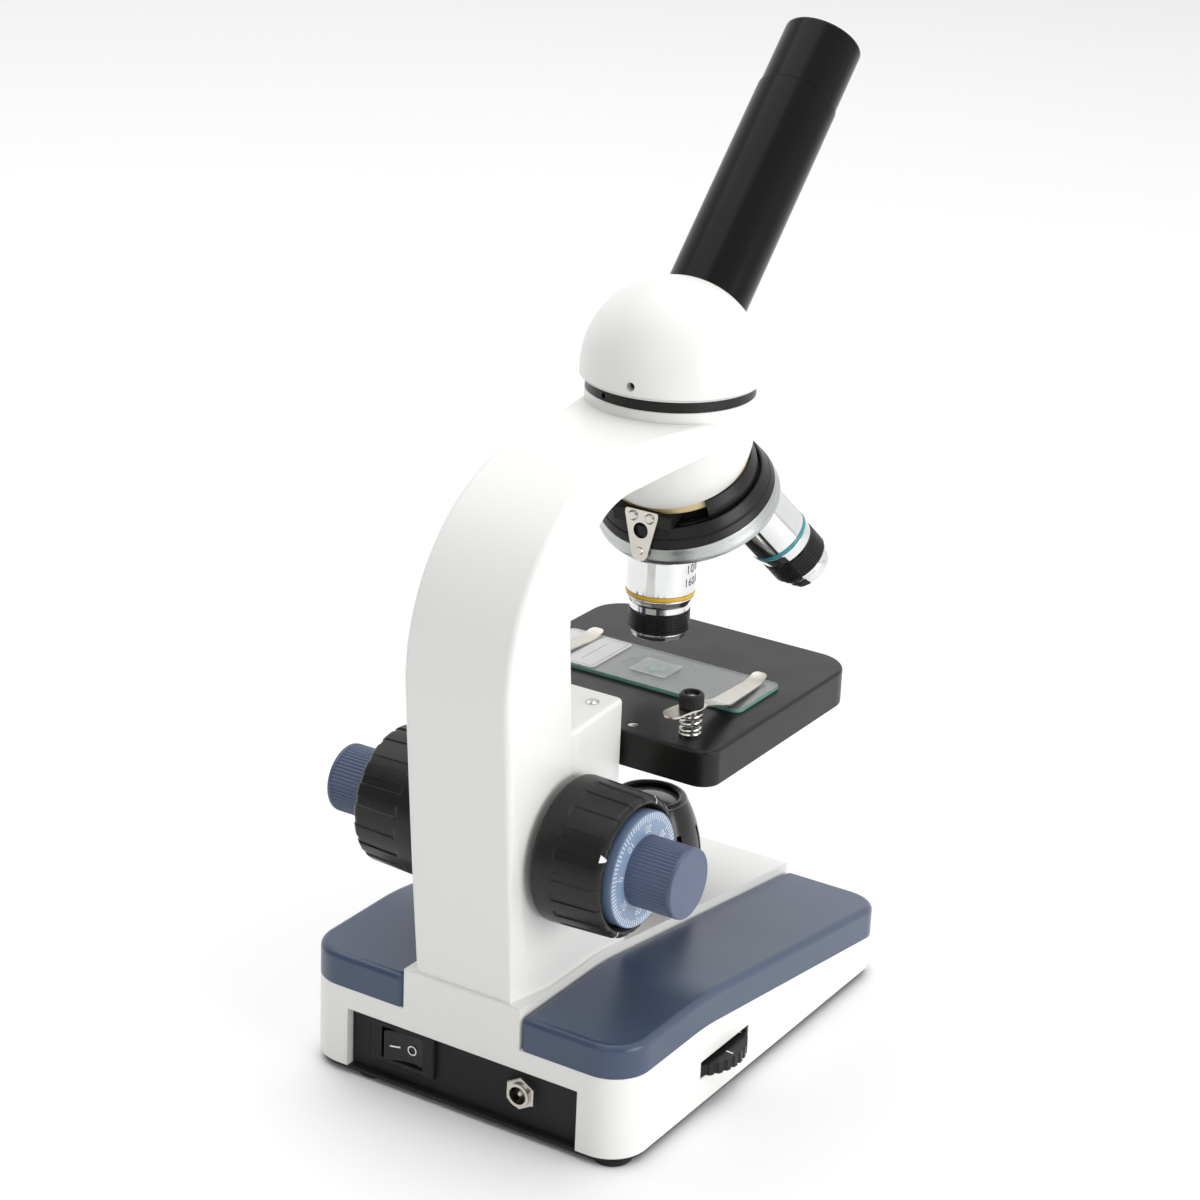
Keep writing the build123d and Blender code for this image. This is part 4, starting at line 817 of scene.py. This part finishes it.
def clip(sign):
    """A bent spring-steel clip: a strip from its tip past the screw's hole to its round tail."""
    stations = [TIP_Y, TIP_Y + 0.5, TIP_Y + 1.4, *[p.x for p in CLIP_SIDE[1:]]]
    stations = sorted(y for y in stations if y < CLIP_Y - 4.05) + [CLIP_Y - 4.0]
    points, faces = [], []
    for y in stations:
        low, high = between(CLIP_EDGES, y)
        z = between(CLIP_SIDE, y)[0]
        for x, rise in ((low, 0), (high, 0), (high, CLIP_THICK), (low, CLIP_THICK)):
            points.append(Vector((sign * (x - CLIP_X), y, z + rise)))
    for i in range(len(stations) - 1):
        a, b = i * 4, i * 4 + 4
        faces += [(a + k, a + (k + 1) % 4, b + (k + 1) % 4, b + k) for k in range(4)]
    faces.append((0, 1, 2, 3))
    rim = clip_rim()
    count = len(rim)
    start = len(points)
    for p in rim:
        hole = p.normalized() * 1.53
        for spot, rise in ((p, 0), (p, CLIP_THICK), (hole, CLIP_THICK), (hole, 0)):
            y = CLIP_Y + spot.y
            z = between(CLIP_SIDE, y)[0]
            points.append(Vector((sign * (spot.x - CLIP_X), y, z + rise)))
    for i in range(count):
        a, b = start + 4 * i, start + 4 * ((i + 1) % count)
        faces += [(a + k, a + (k + 1) % 4, b + (k + 1) % 4, b + k) for k in range(4)
                  if not (k == 0 and i < 2)]
    return points, faces, [tuple(p * 0.2) for p in points]


piece("left_stage_clip", clip(1), STEEL, "left_clip_body", ("left_clip",))
piece("right_stage_clip", clip(-1), STEEL, "right_clip_body", ("right_clip",))


# ---------------------------------------------------------------- the specimen slide
def rounded_box(low, high, corner, fillet):
    """A flat slab with rounded plan corners and softened rims."""
    outline = []
    for cx, cy, start in ((high[0] - corner, high[1] - corner, 0),
                          (low[0] + corner, high[1] - corner, 90),
                          (low[0] + corner, low[1] + corner, 180),
                          (high[0] - corner, low[1] + corner, 270)):
        for k in range(5):
            a = radians(start + 22.5 * k)
            outline.append((cx + corner * cos(a), cy + corner * sin(a)))
    return prism(Matrix.Identity(4), outline, low[2], high[2], fillet)


SLIDE_LOW = (-36.5, AXIS_Y - 13.6)
SLIDE_HIGH = (39.5, AXIS_Y + 12.4)
slide = piece("specimen_slide",
              rounded_box((*SLIDE_LOW, STAGE_TOP + 0.02), (*SLIDE_HIGH, SLIDE_TOP), 2.5, 0.12),
              SLIDE_GLASS, "stage", ("glass_slide",))
paint_sides(slide, SLIDE_EDGE)
piece("paper_label",
      rounded_box((16.0, AXIS_Y - 12.6, SLIDE_TOP), (38.9, AXIS_Y + 11.4, SLIDE_TOP + 0.1), 1.6, 0),
      PAPER, "stage", ("slide_label",))
slip = piece("slip_of_glass",
             rounded_box((-6, AXIS_Y - 6.6, SLIDE_TOP + 0.02),
                         (7, AXIS_Y + 5.4, SLIDE_TOP + 0.17), 0.2, 0),
             GLASS, "stage", ("cover_slip",))
paint_sides(slip, SLIDE_EDGE)


def label_lines():
    """A thin border and three faint ruled lines on the slide's label."""
    level = Matrix.Translation((27.45, AXIS_Y - 0.6, SLIDE_TOP + 0.13))
    parts = [outlined(level, [(-10.4, -10.9), (10.4, -10.9), (10.4, 10.9), (-10.4, 10.9)], 0.25)]
    for row, half in ((-4.6, 7.5), (0.4, 8.2), (5.2, 6.0)):
        parts.append(quad([level @ Vector(c) for c in
                           ((row - 0.12, -half, 0), (row + 0.12, -half, 0),
                            (row + 0.12, half, 0), (row - 0.12, half, 0))]))
    return merged(parts)


def specimen():
    """A thin stained section under the slip, with a wandering edge."""
    rim = []
    for k in range(48):
        a = 2 * pi * k / 48
        reach = 2.7 + 0.4 * sin(2 * a + 0.6) + 0.3 * sin(5 * a) + 0.15 * sin(9 * a + 1.0)
        rim.append(Vector((0.6 + reach * cos(a), AXIS_Y - 0.6 + reach * sin(a), SLIDE_TOP + 0.012)))
    return rim, [tuple(range(48))], [tuple(p) for p in rim]


piece("label_lines", label_lines(), GREY_INK, "stage")
piece("specimen", specimen(), STAIN, "stage")

# ---------------------------------------------------------------- base fittings
ROCKER_AXIS = Vector((21.4, AXIS_Y + 96.7, 14.65))
ROCKER_REST = radians(9)
ROCKER_ALONG = Vector((cos(ROCKER_REST), sin(ROCKER_REST), 0))
rocker_place = placed(ROCKER_AXIS, Z_AXIS, ROCKER_ALONG)
rocker_outline = softened([(-6.5, 4.6), (-6.5, 0.5), (-3.0, -3.0), (3.0, -3.0), (6.5, 0.5),
                           (6.5, 4.6), (3.2, 3.75), (0, 3.45), (-3.2, 3.75)], 0.45, closed=True)
piece("rocker_cap",
      prism(rocker_place, rocker_outline, -4.9, 4.9, 0.35),
      BLACK_GLOSS, "rocker", ("power_rocker",))


def rocker_mark(x):
    """A frame on the rocker's outer face for a white sign, seen from behind."""
    rise = 0.95 if x > 0 else -0.95
    face = Vector((-rise, 6.5, 0)).normalized()
    out = rocker_place.to_3x3() @ face
    spot = rocker_place @ Vector((x, 3.53 + 0.15 * abs(x), 0)) + out * 0.06
    return placed(spot, out, -ROCKER_ALONG)


def rocker_signs():
    """The dash and the circle of a power switch."""
    dash = rocker_mark(3.0)
    ring_of = rocker_mark(-2.6)
    circle = [(1.6 * cos(2 * pi * k / 32), 1.6 * sin(2 * pi * k / 32)) for k in range(32)]
    bar = [dash @ Vector(c) for c in ((-1.65, -0.27, 0), (1.65, -0.27, 0), (1.65, 0.27, 0),
                                      (-1.65, 0.27, 0))]
    return merged([quad(bar), outlined(ring_of, circle, 0.42)])


piece("rocker_signs", rocker_signs(), WHITE_MARK, "rocker")

WHEEL = Vector((-43.4, AXIS_Y + 45.7, 15.93))


def wheel_marks():
    """Two short white lines on top of the brightness wheel, near the part that shows."""
    marks = []
    for angle in (radians(176), radians(222)):
        out = Vector((cos(angle), sin(angle), 0))
        side = Vector((-sin(angle), cos(angle), 0)) * 0.3
        near, far = WHEEL + out * 14.6, WHEEL + out * 17.0
        marks.append(quad([near - side, far - side, far + side, near + side]))
    return merged(marks)


piece("wheel_marks", wheel_marks(), WHITE_MARK, "wheel")

lamp_place = placed((0, AXIS_Y, 0), Z_AXIS, X_AXIS)
piece("lamp_bezel",
      lathe(lamp_place, [(9.25, 64.8, 0), (9.25, 65.9, 0.3), (9.8, 66.35, 0.3), (10.9, 66.35, 0.5),
                         (11.7, 65.6, 0.5), (11.75, 65.2, 0), (10.4, 65.2, 0)], closed=True),
      LAMP_BEZEL, "stand")

# ---------------------------------------------------------------- floor, light and camera
REACH = 8.0
floor_mesh = bpy.data.meshes.new("floor")
floor_mesh.from_pydata([(-REACH, -REACH, 0), (REACH, -REACH, 0), (REACH, REACH, 0),
                        (-REACH, REACH, 0)], [], [(0, 1, 2, 3)])
floor = bpy.data.objects.new("floor", floor_mesh)
bpy.context.scene.collection.objects.link(floor)
floor.data.materials.append(surface("floor", (0.9, 0.9, 0.9), 0.6, variation=0.005, patch=2.0))


def area(name, place, size, power):
    """A soft box aimed at the middle of the object."""
    light = bpy.data.lights.new(name, "AREA")
    light.energy = power
    light.shape = "RECTANGLE"
    light.size, light.size_y = size
    o = bpy.data.objects.new(name, light)
    bpy.context.scene.collection.objects.link(o)
    o.location = place
    aim = Vector((0, 0, 0.15)) - Vector(place)
    o.rotation_euler = aim.to_track_quat("-Z", "Y").to_euler()
    return o


area("top", (0.3, -0.15, 1.9), (2.0, 2.0), 18)
area("key", (-1.5, 0.1, 0.35), (1.0, 0.6), 9)
area("rear", (-0.3, 1.7, 1.0), (1.2, 0.8), 4.5)


def studio_world():
    """Soft surroundings, bright above and beyond the object and dim behind its arm."""
    world = bpy.data.worlds.new("studio")
    bpy.context.scene.world = world
    world.use_nodes = True
    tree = world.node_tree
    direction = tree.nodes.new("ShaderNodeTexCoord").outputs["Generated"]
    toward = tree.nodes.new("ShaderNodeVectorMath")
    toward.operation = "DOT_PRODUCT"
    toward.inputs[1].default_value = (-0.014, -0.859, 0.513)
    tree.links.new(direction, toward.inputs[0])
    brightness = tree.nodes.new("ShaderNodeMapRange")
    brightness.interpolation_type = "SMOOTHSTEP"
    brightness.inputs["From Min"].default_value = -0.3
    brightness.inputs["From Max"].default_value = 0.3
    brightness.inputs["To Min"].default_value = 0.12
    brightness.inputs["To Max"].default_value = 1.0
    tree.links.new(toward.outputs["Value"], brightness.inputs["Value"])
    background = tree.nodes["Background"]
    background.inputs["Color"].default_value = (1, 1, 1, 1)
    tree.links.new(brightness.outputs["Result"], background.inputs["Strength"])


studio_world()

camera_data = bpy.data.cameras.new("camera")
camera = bpy.data.objects.new("camera", camera_data)
bpy.context.scene.collection.objects.link(camera)
camera_data.lens = 89.66
camera_data.sensor_width = 36
camera_data.clip_start = 0.05
camera_right = Vector((-0.84359, -0.53550, 0.03985))
camera_up = Vector((0.22527, -0.28557, 0.93151))
camera_back = Vector((-0.48745, 0.79479, 0.36153))
camera_turn = Matrix((camera_right, camera_up, camera_back)).transposed().to_4x4()
camera_place = Vector((-0.4285, 0.7249, 0.4597))
camera.matrix_world = Matrix.Translation(camera_place) @ camera_turn
bpy.context.scene.camera = camera
bpy.context.scene.view_settings.view_transform = "Standard"
